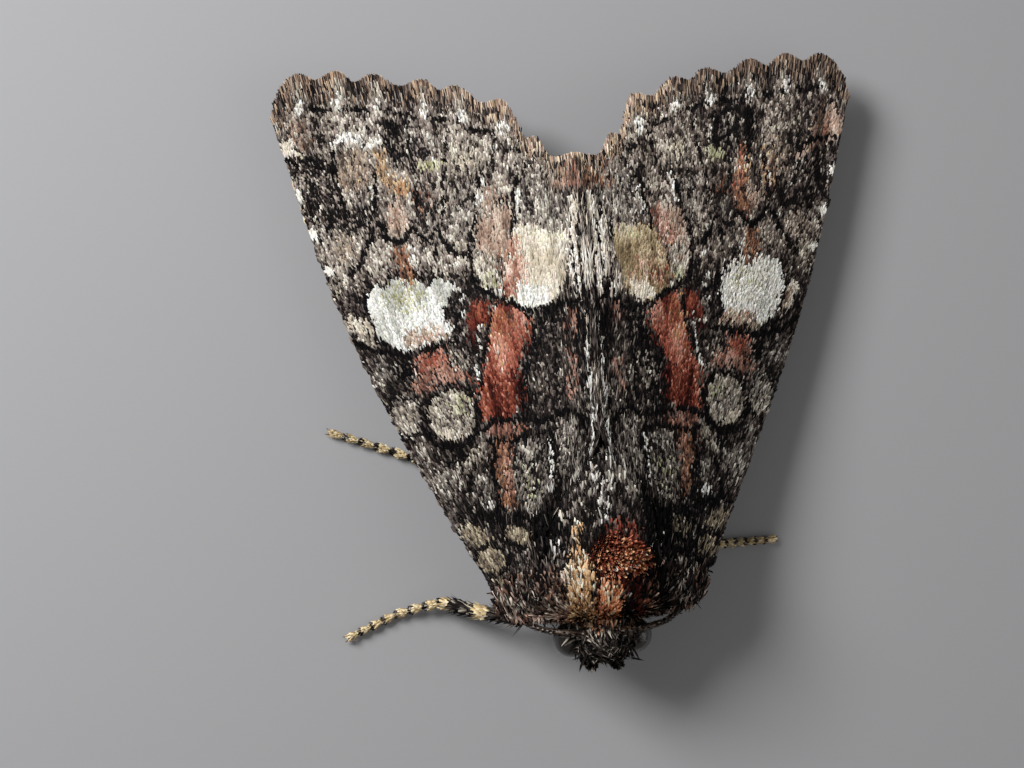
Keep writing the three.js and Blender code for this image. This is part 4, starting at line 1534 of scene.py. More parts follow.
@dataclass
class WingCoat:
    """The scales of one wing: shingled rows above and below, slim hair-scales among them, and a fringe."""

    wing: Blade
    rng: Random
    material: Material
    pattern: Pattern
    under_pattern: Pattern
    pitch: float = 0.0442  # between scales in a row
    gap: float = 0.0446  # between rows
    lie: Lie = Lie((0.12, 0.18), (0.046, 0.062), (4, 14), 9)
    slim: Lie = Lie((0.16, 0.30), (0.020, 0.030), (8, 20), 9, 20, (-0.12, 0.10))
    slim_count: int = 1500
    streaks: Lie = Lie((0.14, 0.30), (0.026, 0.042), (6, 16), 8, 20, (-0.10, 0.06))
    streak_count: int = 1500
    streak_reach: float = 0.13  # they stay this near the inner margin, as a share
    seam: Lie = Lie((0.28, 0.50), (0.034, 0.050), (2, 12), 5, 25, (-0.12, 0.02))
    seam_count: int = 900  # hair-scales that close the gap on the midline
    parts: int = 2  # pieces that the upper scales are divided into
    under_pitch: float = 0.132
    under_gap: float = 0.122
    under_lie: Lie = Lie((0.28, 0.38), (0.14, 0.19), (4, 9), 6, 8)
    fringe_count: int = 5600
    fringe_lie: Lie = Lie((0.97, 1.03), (0.034, 0.050), (-3, 5), 5, 25, (-0.08, 0.02))
    fringe_tone: Tone = FRINGE
    waves: int = 8  # of the hind margin
    # the fringe's layers, from the lowest: their share of its scales, their reach and how dark they are
    layer_shares: Place = (0.40, 0.34, 0.26)
    layer_reach: Place = (1.0, 0.70, 0.42)
    layer_dark: Place = (0.22, 0.52, 0.48)
    plan_width: float = 6.5  # of the wing laid flat, for the grain of its markings
    plan_length: float = 11.0

    def grain(self, s: Array, t: Array) -> Array:
        """Counts places across and along the lie of the scales, in mm."""
        return np.column_stack((t * self.plan_width, s * self.plan_length))

    def top(self) -> Tufts:
        """Lays the shingled scales of the upper face.

        Returns:
            The scales.
        """
        s, t = self.wing.rows(self.pitch, self.gap, self.rng)
        root = self.wing.surface(s, t, 0.004)
        ahead, above = self.wing.axes(s, t)
        shown = root + ahead * (0.85 * sum(self.lie.length) / 2)
        colour = self.pattern.paint(shown, self.grain(s, t), self.rng)
        return self.lie.grow(root, ahead, above, colour, self.wing.spots(s, t), self.rng, 0.05)

    def slim_scales(self) -> Tufts:
        """Scatters slim hair-scales over the shingled ones.

        Returns:
            The hair-scales, most of them near the inner margin.
        """
        groups = []
        for lie, count, reach, inwards in (
            (self.slim, self.slim_count, 1.0, 0.0),
            (self.streaks, self.streak_count, self.streak_reach, 0.0),
            (self.seam, self.seam_count, 0.012, 0.10),
        ):
            s = self.rng.uniform(0.02, self.wing.membrane_end, count)
            t = self.rng.random(count) ** 1.4 * reach
            root = self.wing.surface(s, t, 0.02)
            ahead, above = self.wing.axes(s, t)
            if inwards:
                above = unit(above + 2 * UP)
            ahead = unit(ahead - np.array((inwards * self.wing.side.value, 0, 0)))
            shown = root + ahead * (0.7 * sum(lie.length) / 2)
            colour = self.pattern.paint(shown, self.grain(s, t), self.rng)
            groups.append(lie.grow(root, ahead, above, colour, self.wing.spots(s, t), self.rng, 0.1))
        return Tufts.joined(groups)

    def under(self) -> Tufts:
        """Lays the scales of the lower face.

        Returns:
            The scales.
        """
        s, t = self.wing.rows(self.under_pitch, self.under_gap, self.rng)
        ahead, above = self.wing.axes(s, t)
        root = self.wing.surface(s, t, -MEMBRANE - 0.004)
        colour = self.under_pattern.paint(root + ahead * 0.2, self.grain(s, t), self.rng)
        return self.under_lie.grow(root, ahead, -above, colour, self.wing.spots(s, t), self.rng)

    def fringe(self) -> Tufts:
        """Grows the fringe of hair-scales along the hind margin, in waves with a dark notch between them.

        Returns:
            The fringe, in three layers: the lowest is the longest.
        """
        count = self.fringe_count
        t = np.sort(self.rng.random(count))
        layer = self.rng.choice(3, count, p=self.layer_shares)
        s = self.wing.membrane_end - 0.005 * layer + self.rng.uniform(-0.004, 0.004, count)
        root = self.wing.surface(s, t, 0.016 * layer)
        tip = self.wing.surface(np.ones(count), t)
        ahead, above = self.wing.axes(s, t)
        ahead = unit(blend(ahead, unit(tip - root), 0.7))
        wave = 0.5 + 0.5 * np.cos(2 * np.pi * self.waves * t)
        drift = cloud(t * 110, layer * 5.0, 1.0, 1.0, 71)
        reach = np.linalg.norm(tip - root, axis=1) * np.array(self.layer_reach)[layer]
        reach = reach * self.rng.uniform(0.95, 1.02, count)
        chance = self.rng.random((4, count))
        inner = t < 0.30
        dark_share = np.array(self.layer_dark)[layer] + 0.34 * (1 - wave) ** 2 + 0.9 * (drift - 0.5)
        dark = chance[0] < dark_share - 0.20 * inner
        colour = self.fringe_tone.pick(chance[1])
        colour[dark] = DARK.pick(chance[2][dark])
        vein_share = 0.6 if self.wing.side is RIGHT else 0.3
        vein = (layer > 0) & (wave > 0.80) & (chance[3] < vein_share) & (self.waves > 1) & (t > 0.1)
        colour[vein] = PALE.pick(chance[1][vein])
        # painted shade: the left wing's fringe is darkened, as that side lies in shade
        if self.wing.side is LEFT:
            colour *= 0.80
        rosy = (inner | (t < 0.42) & (layer == 0) & (chance[2] < 0.55)) & ~dark
        colour[rosy] = BEIGE.pick(chance[1][rosy])
        tawny = rosy & (chance[3] < 0.3)
        colour[tawny] = BUFF.pick(chance[1][tawny])
        tufts = self.fringe_lie.grow(root, ahead, above, colour, self.wing.spots(s, t), self.rng, 0.04)
        tufts.length = reach
        return tufts

    def build(self, scale: Form, lock: Form, name: str) -> None:
        """Makes the wing's pieces.

        Args:
            scale: A scale's form.
            lock: A lock's form.
            name: The wing's kind, which its pieces are named for.
        """
        start, slot = f"{name}_{self.wing.side.word}", f"{name}_scales"
        top = self.top()
        along = top.spot[:, 1]
        limits = np.quantile(along, np.linspace(0, 1, self.parts + 1))
        for part, (low, high) in enumerate(zip(limits, limits[1:])):
            scales = top.thinned((along >= low) & (along < high))
            show(scales.mesh(f"{start}_scales_{part + 1}", scale), self.material, slot)
        show(self.under().mesh(f"{start}_under_scales", scale), self.material, slot)
        show(self.slim_scales().mesh(f"{start}_slim_scales", lock), self.material, slot)
        show(self.fringe().mesh(f"{start}_fringe", scale), self.material, slot)


# ---- the body's forms


@dataclass(frozen=True)
class Lump:
    """A body segment: a sphere drawn out along Y and blunted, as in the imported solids."""

    front: float
    rear: float
    half_width: float
    middle_z: float
    top: float
    bottom: float
    bluntness: float
    taper: float = 0.0  # share of the width lost towards the rear
    flatten: bool = False  # whether the height is lost too
    drop: float = 0.0
    rings: int = 0  # creases between segments
    faces = (48, 40)  # around and along

    def grid(self, depth: float, cap: Curve | None = None) -> BMesh:
        """Makes the segment, smaller by the coat's depth.

        Args:
            depth: The coat's depth in mm.
            cap: Moves points that would stand through something.

        Returns:
            A closed form.
        """

        def place(u: Array, v: Array) -> Array:
            """Gives the segment's points for shares round it and along it."""
            angle = TURN * u
            ring = np.sin(np.pi * v) ** (2 / self.bluntness)
            along = -np.cos(np.pi * v)
            share = (np.sign(along) * np.abs(along) ** (2 / self.bluntness) + 1) / 2
            keep = 1 - self.taper * share**2
            crease = 1 - 0.03 * (0.5 + 0.5 * np.cos(TURN * self.rings * share)) ** 6 * (self.rings > 0)
            x = ring * np.cos(angle) * (self.half_width - depth) * keep * crease
            z = ring * np.sin(angle)
            z = z * np.where(z > 0, self.top - depth, self.bottom - depth) * crease
            z = z * (keep if self.flatten else 1.0) - self.drop * share**2 + self.middle_z
            points = np.column_stack((x, blend(self.front + depth, self.rear - depth, share), z))
            return points if cap is None else cap(points)

        return shaped_grid(*self.faces, place)


THORAX = Lump(-6.05, -1.2, 2.4, 2.35, 1.62, 1.5, 3.3, 0.45)
ABDOMEN = Lump(-2.9, 5.15, 1.32, 1.72, 1.33, 1.25, 2.2, 0.42, True, 0.25, 8)
HEAD = Lump(-7.14, -5.6, 0.9, 2.25, 0.95, 0.85, 2.4)


@dataclass(frozen=True)
class Route:
    """A limb's bent middle line through a few knots."""

    knots: tuple[Place, ...]
    tension: float = 0.5
    aside: Place | None = None  # one sideways direction for the whole line, if it coils
    steps = 399  # that its line is measured in

    def points(self, count: int) -> Array:
        """Follows the line in even steps.

        Args:
            count: How many points.

        Returns:
            The points, in mm.
        """
        knots = np.array(self.knots)
        ends = np.vstack((2 * knots[0] - knots[1], knots, 2 * knots[-1] - knots[-2]))
        slopes = self.tension * (ends[2:] - ends[:-2])
        share = np.linspace(0, 1, 40, endpoint=False)[:, None]
        parts = [hermite(*part, share) for part in zip(knots, slopes, knots[1:], slopes[1:])]
        fine = np.vstack((*parts, knots[-1:]))
        run = np.concatenate(([0.0], np.cumsum(np.linalg.norm(np.diff(fine, axis=0), axis=1))))
        even = np.linspace(0, run[-1], count)
        return np.column_stack([np.interp(even, run, fine[:, axis]) for axis in range(3)])

    def knot_shares(self) -> Array:
        """Finds how far along the line each knot is, from 0 to 1."""
        fine = self.points(self.steps + 1)
        return np.array([np.argmin(np.linalg.norm(fine - knot, axis=1)) for knot in self.knots]) / self.steps

    def frame(self, share: Array) -> tuple[Array, Array, Array, Array]:
        """Finds the line's point and axes.

        Args:
            share: How far along.

        Returns:
            Points, and unit vectors ahead, aside and above.
        """
        fine = self.points(self.steps + 1)
        where = np.clip(share, 0, 1) * self.steps
        lower = np.minimum(where.astype(int), self.steps - 1)
        rest = (where - lower)[:, None]
        point = fine[lower] * (1 - rest) + fine[lower + 1] * rest
        slopes = unit(np.gradient(fine, axis=0))
        ahead = unit(slopes[lower] * (1 - rest) + slopes[lower + 1] * rest)
        aside = np.tile(self.aside, (len(ahead), 1)) if self.aside else unit(np.cross(ahead, UP))
        return point, ahead, aside, np.cross(aside, ahead)

    def tube(self, radius: Curve, around: int, steps: int) -> BMesh:
        """Makes a round limb.

        Args:
            radius: Its radius at each share of its length.
            around: Faces around.
            steps: Faces along.

        Returns:
            A closed form with rounded ends.
        """

        def place(u: Array, v: Array) -> Array:
            """Gives the limb's points for shares round it and along it."""
            point, _, aside, above = self.frame(v)
            size = radius(v) * np.sqrt(np.clip(1 - np.abs(2 * v - 1) ** 24, 0, 1))
            angle = TURN * u
            return point + (size * np.cos(angle))[:, None] * aside + (size * np.sin(angle))[:, None] * above

        return shaped_grid(around, steps, place)

    def roots(self, count: int, radius: Curve, rng: Random) -> tuple[Array, ...]:
        """Spreads roots over a round limb.

        Args:
            count: How many.
            radius: The limb's radius at each share of its length.
            rng: Random numbers.

        Returns:
            Shares along, points, directions ahead, directions outwards and places on the unwrap.
        """
        share = (np.arange(count) + rng.random(count)) / count
        angle = (np.arange(count) * GOLDEN_TURN + rng.uniform(-0.5, 0.5, count)) % TURN
        point, ahead, aside, above = self.frame(share)
        out = np.cos(angle)[:, None] * aside + np.sin(angle)[:, None] * above
        spots = np.column_stack((angle / TURN, share)) * 0.96 + 0.02
        return share, point + out * radius(share)[:, None], ahead, out, spots


class Hide:
    """The body's skin as triangles, from which the coat's roots are drawn."""

    def __init__(self, mesh: Mesh) -> None:
        """Reads the skin.

        Args:
            mesh: The skin, in mm.
        """
        mesh.calc_loop_triangles()
        corners = np.empty(len(mesh.loop_triangles) * 3, np.int32)
        mesh.loop_triangles.foreach_get("vertices", corners)
        corners = corners.reshape(-1, 3)
        normals = np.empty(len(mesh.vertices) * 3)
        mesh.vertices.foreach_get("normal", normals)
        self.corners = corner_points(mesh)[corners]
        self.normals = normals.reshape(-1, 3)[corners]
        self.middles = self.corners.mean(axis=1)
        first, second, third = (self.corners[:, number] for number in range(3))
        self.areas = 0.5 * np.linalg.norm(np.cross(second - first, third - first), axis=1)

    def roots(self, inside: Curve, gap: float, rng: Random) -> tuple[Array, Array]:
        """Draws roots about as far apart as the gap.

        Args:
            inside: Says which places take roots.
            gap: Distance between roots, in mm.
            rng: Random numbers.

        Returns:
            Places and outward directions.
        """
        chosen = np.flatnonzero(inside(self.middles))
        areas = self.areas[chosen]
        count = int(areas.sum() / gap**2 * 3)
        picked = chosen[rng.choice(len(chosen), count, p=areas / areas.sum())]
        weights = rng.random((count, 2))
        weights = np.where(weights.sum(axis=1, keepdims=True) > 1, 1 - weights, weights)
        weights = np.column_stack((1 - weights.sum(axis=1), weights))[..., None]
        points = (self.corners[picked] * weights).sum(axis=1)
        normals = unit((self.normals[picked] * weights).sum(axis=1))
        _, first = np.unique(np.floor(points / gap).astype(np.int64), axis=0, return_index=True)
        first.sort()
        return points[first], normals[first]


# ---- legs, palps and feelers


FOOT_Z = 0.13  # height of a foot's middle line: its scales just touch the floor

# each leg's root, knee and ankle, and the middle and the end of its foot, on the +X side
LEG_KNOTS: dict[str, tuple[Place, ...]] = {
    "foreleg_left": (
        (0.6, -4.7, 1.25), (1.9, -5.65, 1.3), (3, -4.62, 0.38), (3.95, -4.58, FOOT_Z), (4.95, -4.56, FOOT_Z),
    ),
    "foreleg_right": (
        (0.6, -4.7, 1.25), (1.95, -5.95, 1.25), (3.8, -5.58, 0.38), (4.95, -5.8, FOOT_Z),
        (6.2, -6.3, FOOT_Z),
    ),
    "midleg_left": (
        (0.8, -3.4, 1.1), (2.2, -2.75, 0.98), (3.4, -1.9, 0.36), (4.35, -1.05, FOOT_Z), (5.2, -0.35, FOOT_Z),
    ),
    "midleg_right": (
        (0.8, -3.4, 1.1), (2.2, -2.9, 0.98), (3.4, -2.2, 0.36), (4.85, -1.64, FOOT_Z), (6.35, -1.08, FOOT_Z),
    ),
    "hindleg_left": (
        (0.8, -2.5, 1), (2.2, -0.9, 0.98), (3.4, 1, 0.36), (4.4, 2.3, FOOT_Z), (5.3, 3.5, FOOT_Z),
    ),
    "hindleg_right": (
        (0.8, -2.5, 1), (2.2, -0.9, 0.98), (3.5, 0.8, 0.36), (4.8, 1.85, FOOT_Z), (6, 2.6, FOOT_Z),
    ),
}


def on_side(knots: Iterable[Place], side: Side) -> tuple[Place, ...]:
    """Puts knots given on the +X side on the side that is wanted."""
    return tuple((x * side.value, y, z) for x, y, z in knots)


@dataclass
class Leg:
    """One leg: thigh, shin and a foot of five joints, ringed at each joint's end."""

    name: str
    coat_count: int = 1500
    hair_count: int = 420
    thigh_radius: float = 0.17
    shin_radius: float = 0.115
    foot_radius: float = 0.082
    joints: tuple[float, ...] = (0.17, 0.16, 0.15, 0.14, 0.13, 0.13, 0.12)  # long joints have two rings
    ring_share: float = 0.66  # how much of each stretch is pale, at its far end
    coat_lie: Lie = Lie((0.16, 0.26), (0.05, 0.07), (6, 16), 9)
    hair_lie: Lie = Lie((0.22, 0.42), (0.026, 0.040), (16, 38), 12, 20, (-0.25, 0))
    spur_lie: Lie = Lie((0.34, 0.46), (0.055, 0.065), (0, 1), 1, 1, (-0.1, 0))

    def __post_init__(self) -> None:
        """Works out the leg's line and where its parts meet."""
        side = LEFT if self.name.endswith("left") else RIGHT
        self.route = Route(on_side(LEG_KNOTS[self.name], side), 0.25)
        _, self.knee, self.ankle, *_ = self.route.knot_shares()
        self.joint_ends = self.ankle + (1 - self.ankle) * np.cumsum(self.joints)

    def radius(self, share: Array) -> Array:
        """Gives the skin's radius along the leg.

        Args:
            share: How far along.

        Returns:
            Radii in mm.
        """
        stops = (0, self.knee * 0.6, self.knee, self.knee + 0.04, self.ankle - 0.02, self.ankle + 0.02, 1)
        thigh, shin, foot = self.thigh_radius, self.shin_radius, self.foot_radius
        sizes = (thigh, thigh, shin * 0.95, shin, shin, foot * 1.15, foot * 0.85)
        swell = 0.55 + 0.72 * np.sin(np.pi * np.clip(np.clip(self.joint_share(share), 0, 1) - 0.15, 0, 1))
        return np.interp(share, stops, sizes) * np.where(share > self.ankle, swell, 1.0)

    def joint_share(self, share: Array) -> Array:
        """Says how far along its foot joint each place is.

        Args:
            share: How far along the leg, from 0 to 1.

        Returns:
            Values from 0 to 1; below 0 is above the foot.
        """
        starts = np.concatenate(([self.ankle], self.joint_ends[:-1]))
        number = np.clip(np.searchsorted(self.joint_ends, share), 0, len(starts) - 1)
        length = self.joint_ends[number] - starts[number]
        return np.where(share < self.ankle, -1.0, (share - starts[number]) / length)

    def colours(self, share: Array, rng: Random) -> Array:
        """Colours the leg: dark, with pale rings.

        Args:
            share: How far along.
            rng: Random numbers.

        Returns:
            Linear colours.
        """
        chance = rng.random(len(share))
        shin = (share - self.knee) / (self.ankle - self.knee)
        pale = self.joint_share(share) > 1 - self.ring_share
        pale |= (np.abs(shin - 0.96) < 0.07) | (np.abs(shin - 0.45) < 0.08)
        colour = SOOT.pick(chance)
        drab = (share < self.knee) & (rng.random(len(share)) < 0.5)
        colour[drab] = DRAB.pick(chance[drab])
        colour[pale] = BONE.pick(chance[pale])
        return colour

    def coat(self, rng: Random) -> Tufts:
        """Covers the leg with scales.

        Args:
            rng: Random numbers.

        Returns:
            The scales, longest on thigh and shin.
        """
        share, root, ahead, out, spots = self.route.roots(self.coat_count, self.radius, rng)
        stops = (0, self.knee, self.ankle - 0.05, self.ankle + 0.03, 1)
        size = np.interp(share, stops, (1.5, 1.3, 1.1, 0.5, 0.44))
        colour = self.colours(share + 0.018, rng)
        coat = self.coat_lie.grow(root, ahead, out, colour, spots, rng, size=size)
        coat.width = coat.width * np.where(share > self.ankle, 1.6, 1.0)
        return coat

    def tufts(self, rng: Random) -> Tufts:
        """Grows the long hairs of thigh and shin, and the spurs at the shin's end.

        Args:
            rng: Random numbers.

        Returns:
            The locks.
        """
        roots = self.route.roots(self.hair_count, self.radius, rng)
        share, root, ahead, out, spots = (part[roots[0] < self.ankle - 0.03] for part in roots)
        hairs = self.hair_lie.grow(root, ahead, out, self.colours(share, rng), spots, rng, 0.15)
        spur_share = np.array((self.ankle - 0.03, self.ankle - 0.03, blend(self.knee, self.ankle, 0.55)))
        point, ahead, aside, above = self.route.frame(spur_share)
        ways = unit(ahead + aside * np.array((0.5, -0.5, 0.4))[:, None] - above * 0.25)
        spots = np.column_stack((np.full(3, 0.5), spur_share))
        spurs = self.spur_lie.grow(point, ways, aside, BONE.pick(np.full(3, 0.3)), spots, rng)
        return Tufts.joined((hairs, spurs))

    def claws(self) -> list[BMesh]:
        """Makes the pair of claws at the end of the foot.

        Returns:
            Two small hooks.
        """
        point, ahead, aside, above = (part[0] for part in self.route.frame(np.ones(1)))
        hooks = []
        for turn in (-1, 1):
            start = point - ahead * 0.02 + aside * 0.02 * turn
            middle = point + ahead * 0.09 + aside * 0.06 * turn + above * 0.015
            end = point + ahead * 0.15 + aside * 0.08 * turn - above * 0.07
            hooks.append(Route((start, middle, end)).tube(lambda share: 0.024 * (1 - 0.75 * share), 8, 12))
        return hooks


@dataclass
class Palp:
    """One of the two palps in front of the face, turned upwards."""

    side: Side
    knots: tuple[Place, ...] = ((0.3, -6.5, 1.45), (0.31, -6.95, 1.55), (0.32, -7.12, 2.12))
    base_radius: float = 0.17
    tip_radius: float = 0.10
    count: int = 620
    lie: Lie = Lie((0.14, 0.24), (0.04, 0.06), (10, 26), 10, 14)

    def __post_init__(self) -> None:
        """Works out the palp's line."""
        self.route = Route(on_side(self.knots, self.side))

    def radius(self, share: Array) -> Array:
        """Gives the palp's radius along its length."""
        return blend(self.base_radius, self.tip_radius, share) * (1 - 0.25 * smooth_step(share, 0.78, 0.82))

    def coat(self, rng: Random) -> Tufts:
        """Covers the palp with scales.

        Args:
            rng: Random numbers.

        Returns:
            The scales.
        """
        share, root, ahead, out, spots = self.route.roots(self.count, self.radius, rng)
        pale = (share > 0.70) & (share < 0.80)
        colour = SOOT.pick(rng.random(len(share)))
        colour[pale] = DRAB.pick(rng.random(pale.sum()))
        return self.lie.grow(root, ahead, out, colour, spots, rng, 0.1)


@dataclass
class Antenna:
    """A thread-like feeler, laid back under the forewing's edge."""

    side: Side
    knots: tuple[Place, ...] = (
        (0.42, -6.3, 2.85), (1, -6.2, 2.8), (1.65, -6.08, 2.4), (2.25, -5.68, 1.95), (2.64, -5, 1.6),
        (2.72, -4.3, 1.42), (2.85, -3.3, 1.28), (3.1, -2.2, 1.16), (3.45, -1.1, 1.08), (3.9, 0.1, 1),
    )
    base_radius: float = 0.075
    tip_radius: float = 0.028
    rings: int = 64
    count: int = 1500
    lie: Lie = Lie((0.07, 0.11), (0.026, 0.036), (4, 12), 7, 10)
    thick: float = 0.008

    def radius(self, share: Array) -> Array:
        """Gives the feeler's radius along its length.

        Args:
            share: How far along.

        Returns:
            Radii in mm, swollen at the root and at each ring.
        """
        taper = blend(self.base_radius, self.tip_radius, share**0.8)
        swell = 1.35 * (share < 0.025)
        return taper * (1 + swell + 0.10 * np.cos(TURN * self.rings * share))

    def build(self, scale: Form, shaft_material: Material, scale_material: Material, rng: Random) -> None:
        """Makes the feeler and its scales.

        Args:
            scale: A scale's form.
            shaft_material: The feeler's finish.
            scale_material: The scales' finish.
            rng: Random numbers.
        """
        name = f"antenna_{self.side.word}"
        route = Route(on_side(self.knots, self.side))
        shaft = route.tube(self.radius, 10, self.rings * 5)
        show(finished_mesh(shaft, f"{name}_shaft"), shaft_material, "antenna", (name,))
        share, root, ahead, out, spots = route.roots(self.count, self.radius, rng)
        colour = SOOT.pick(rng.random(len(share)))
        dark = (share * self.rings % 1) < 0.45
        colour[dark] = BLACK.pick(rng.random(dark.sum()))
        coat = self.lie.grow(root, ahead, out, colour, spots, rng, thick=self.thick)
        show(coat.mesh(f"{name}_scales", scale), scale_material, "antenna")


# ---- skin and body coat


@dataclass
class Skin:
    """One skin for the whole animal: body, legs and palps grown together, and the wings' membranes."""

    roof: Roof
    wings: list[Blade]
    legs: list[Leg]
    palps: list[Palp]
    material: Material
    voxel: float = 0.066
    thorax_depth: float = 0.15
    abdomen_depth: float = 0.12
    head_depth: float = 0.16
    smoothings: int = 2
    shade: float = 0.6  # the skin is darker than the scales over it

    def under_roof(self, points: Array) -> Array:
        """Keeps the thorax below the wings that lie over it.

        Args:
            points: The thorax's points.

        Returns:
            The points, lowered where a wing passes above.
        """
        x, y = np.abs(points[:, 0]), points[:, 1]
        beneath = smooth_step(x - inner_gap(y), -0.12, 0.25) * smooth_step(y, -5.2, -4.7)
        lowered = np.minimum(points[:, 2], self.roof.height(x, y) - 0.10)
        points[:, 2] = blend(points[:, 2], lowered, beneath)
        return points

    def grown_body(self) -> Mesh:
        """Grows the body's parts together.

        Returns:
            One closed mesh, in mm, with no seams.
        """
        bm = THORAX.grid(self.thorax_depth, self.under_roof)
        join(bm, ABDOMEN.grid(self.abdomen_depth))
        join(bm, HEAD.grid(self.head_depth))
        for limb, steps in (*((leg, 120) for leg in self.legs), *((palp, 40) for palp in self.palps)):
            join(bm, limb.route.tube(limb.radius, 12, steps))
        rough = bpy.data.objects.new("rough_body", finished_mesh(bm, "rough_body"))
        bpy.context.scene.collection.objects.link(rough)
        remesh = rough.modifiers.new("one_skin", "REMESH")
        remesh.mode = "VOXEL"
        remesh.voxel_size = self.voxel
        grown = bpy.data.meshes.new_from_object(rough.evaluated_get(bpy.context.evaluated_depsgraph_get()))
        bpy.data.objects.remove(rough)
        bm = bmesh.new()
        bm.from_mesh(grown)
        axes = dict.fromkeys(("use_axis_x", "use_axis_y", "use_axis_z"), True)
        for _ in range(self.smoothings):
            bmesh.ops.smooth_vert(bm, verts=bm.verts, factor=0.5, **axes)
        bm.to_mesh(grown)
        bm.free()
        return grown

    def build(self, rng: Random) -> Hide:
        """Makes the skin and hands on the body's part of it.

        Args:
            rng: Random numbers.

        Returns:
            The body's triangles, for its coat.
        """
        grown = self.grown_body()
        hide = Hide(grown)
        bm = bmesh.new()
        bm.from_mesh(grown)
        for wing in self.wings:
            join(bm, wing.shell(*((96, 120) if isinstance(wing, Forewing) else (40, 60))))
        mesh = finished_mesh(bm, "moth_skin")
        points = corner_points(mesh)
        colours = TOP_PATTERN.paint(points, points[:, :2], rng) * self.shade
        x, z = np.abs(points[:, 0]), points[:, 2]
        low = (z < 1.9) & ((x < 2.4) | (z < self.roof.height(points[:, 0], points[:, 1]) - 0.2))
        colours[low] = SMOKE.pick(rng.random(low.sum()))
        near = np.flatnonzero((z < 1.5) & (x > 1.6))
        for leg in self.legs:
            fine = leg.route.frame(np.linspace(0, 1, 160))[0][::4]
            gap = np.linalg.norm(points[near][:, None, :] - fine[None], axis=2)
            share = gap.argmin(axis=1) / (len(fine) - 1)
            close = gap.min(axis=1) < 0.3
            colours[near[close]] = leg.colours(share[close], rng)
        set_pigment(mesh, colours)
        names = ["thorax", "abdomen", "head"] + [leg.name for leg in self.legs]
        names += [f"{part}_{side.word}" for part in ("palp", "forewing", "hindwing") for side in Side]
        show(mesh, self.material, "body_scales", names)
        return hide


@dataclass(frozen=True)
class Zone:
    """A stretch of the body's coat: where it lies, how close its roots stand, and how they look."""

    x: Spot  # nearest to the midline, or -1 to take it in, and farthest from it
    y: Spot
    z: Spot
    gap: float
    lie: Lie
    pale: float  # how much paler the tips are
    source: Place = (0, -30, 1.6)  # the point that the coat flows away from
    tone: Tone | None = None  # without one, the markings of the upper side

    def holds(self, points: Array) -> Array:
        """Says which places are in the stretch."""
        parts = zip((np.abs(points[:, 0]), points[:, 1], points[:, 2]), (self.x, self.y, self.z))
        return np.all([(value > low) & (value < high) for value, (low, high) in parts], axis=0)


FREE: Spot = (-99, 99)  # no limit
FACE = Zone(FREE, (-99, -5.8), (1.35, 2.45), 0.05, Lie((0.14, 0.24), (0.034, 0.05), (14, 34), 12, 20), 0.2,
            (0, -7, 1.2), SOOT)
CROWN = Zone(FREE, (-99, -5.8), (2.45, 99), 0.05,
             Lie((0.24, 0.4), (0.05, 0.074), (20, 48), 20, 20, (-0.5, -0.1)), 0.2, (0, -5.9, 0.6), SOOT)
BACK = Zone(FREE, (-5.3, -1), (2.1, 99), 0.045,
            Lie((0.16, 0.28), (0.044, 0.064), (6, 20), 12, 20, (-0.2, 0)), 0.04)
WING_EDGE = Zone(FREE, (-4.9, -1.1), (2.1, 99), 0.056,
                 Lie((0.26, 0.46), (0.048, 0.072), (4, 16), 9, 20, (-0.25, -0.05)), 0.04)
SADDLE = Zone((-1, 0.36), (-2.1, -1.22), (2.1, 99), 0.052,
              Lie((0.42, 0.72), (0.05, 0.075), (0, 9), 7, 18, (-0.2, -0.04)), 0.04)
COLLAR = Zone((-1, 2), (-6.3, -4.9), (2.2, 99), 0.04,
              Lie((0.26, 0.42), (0.04, 0.06), (8, 28), 8, 22, (-0.2, 0)), 0.06)
RUFF = Zone((-1, 1.9), (-6.1, -5.86), (2.6, 99), 0.075,
            Lie((0.2, 0.3), (0.04, 0.06), (20, 60), 16, 22, (-0.1, 0.1)), 0.1, (0, -4.6, 2.6), RUST)
LOBES = Zone((1.25, 99), (-6.1, -3.4), (1.7, 99), 0.056,
             Lie((0.34, 0.6), (0.052, 0.08), (10, 36), 14, 24, (-0.3, -0.1)), 0.06, (0, -30, 2.2))
CHEST = Zone((-1, 2), (-6.2, -1.6), (0.6, 2.1), 0.085,
             Lie((0.4, 0.7), (0.046, 0.07), (12, 30), 14, 20, (-0.2, 0)), 0.15, (0, -8.5, 2.4), DRAB)
BELLY = Zone((-1, 1.4), (-1.6, 99), (0.4, 99), 0.1, Lie((0.22, 0.31), (0.1, 0.13), (5, 12), 8, 10), 0.05,
             (0, -6, 1.8), DRAB)
TAIL = Zone((-1, 1.3), (4.05, 99), FREE, 0.06,
            Lie((0.45, 0.8), (0.034, 0.052), (6, 20), 9, 20, (-0.1, 0.1)), 0.15, (0, 0.5, 1.5), RUST)


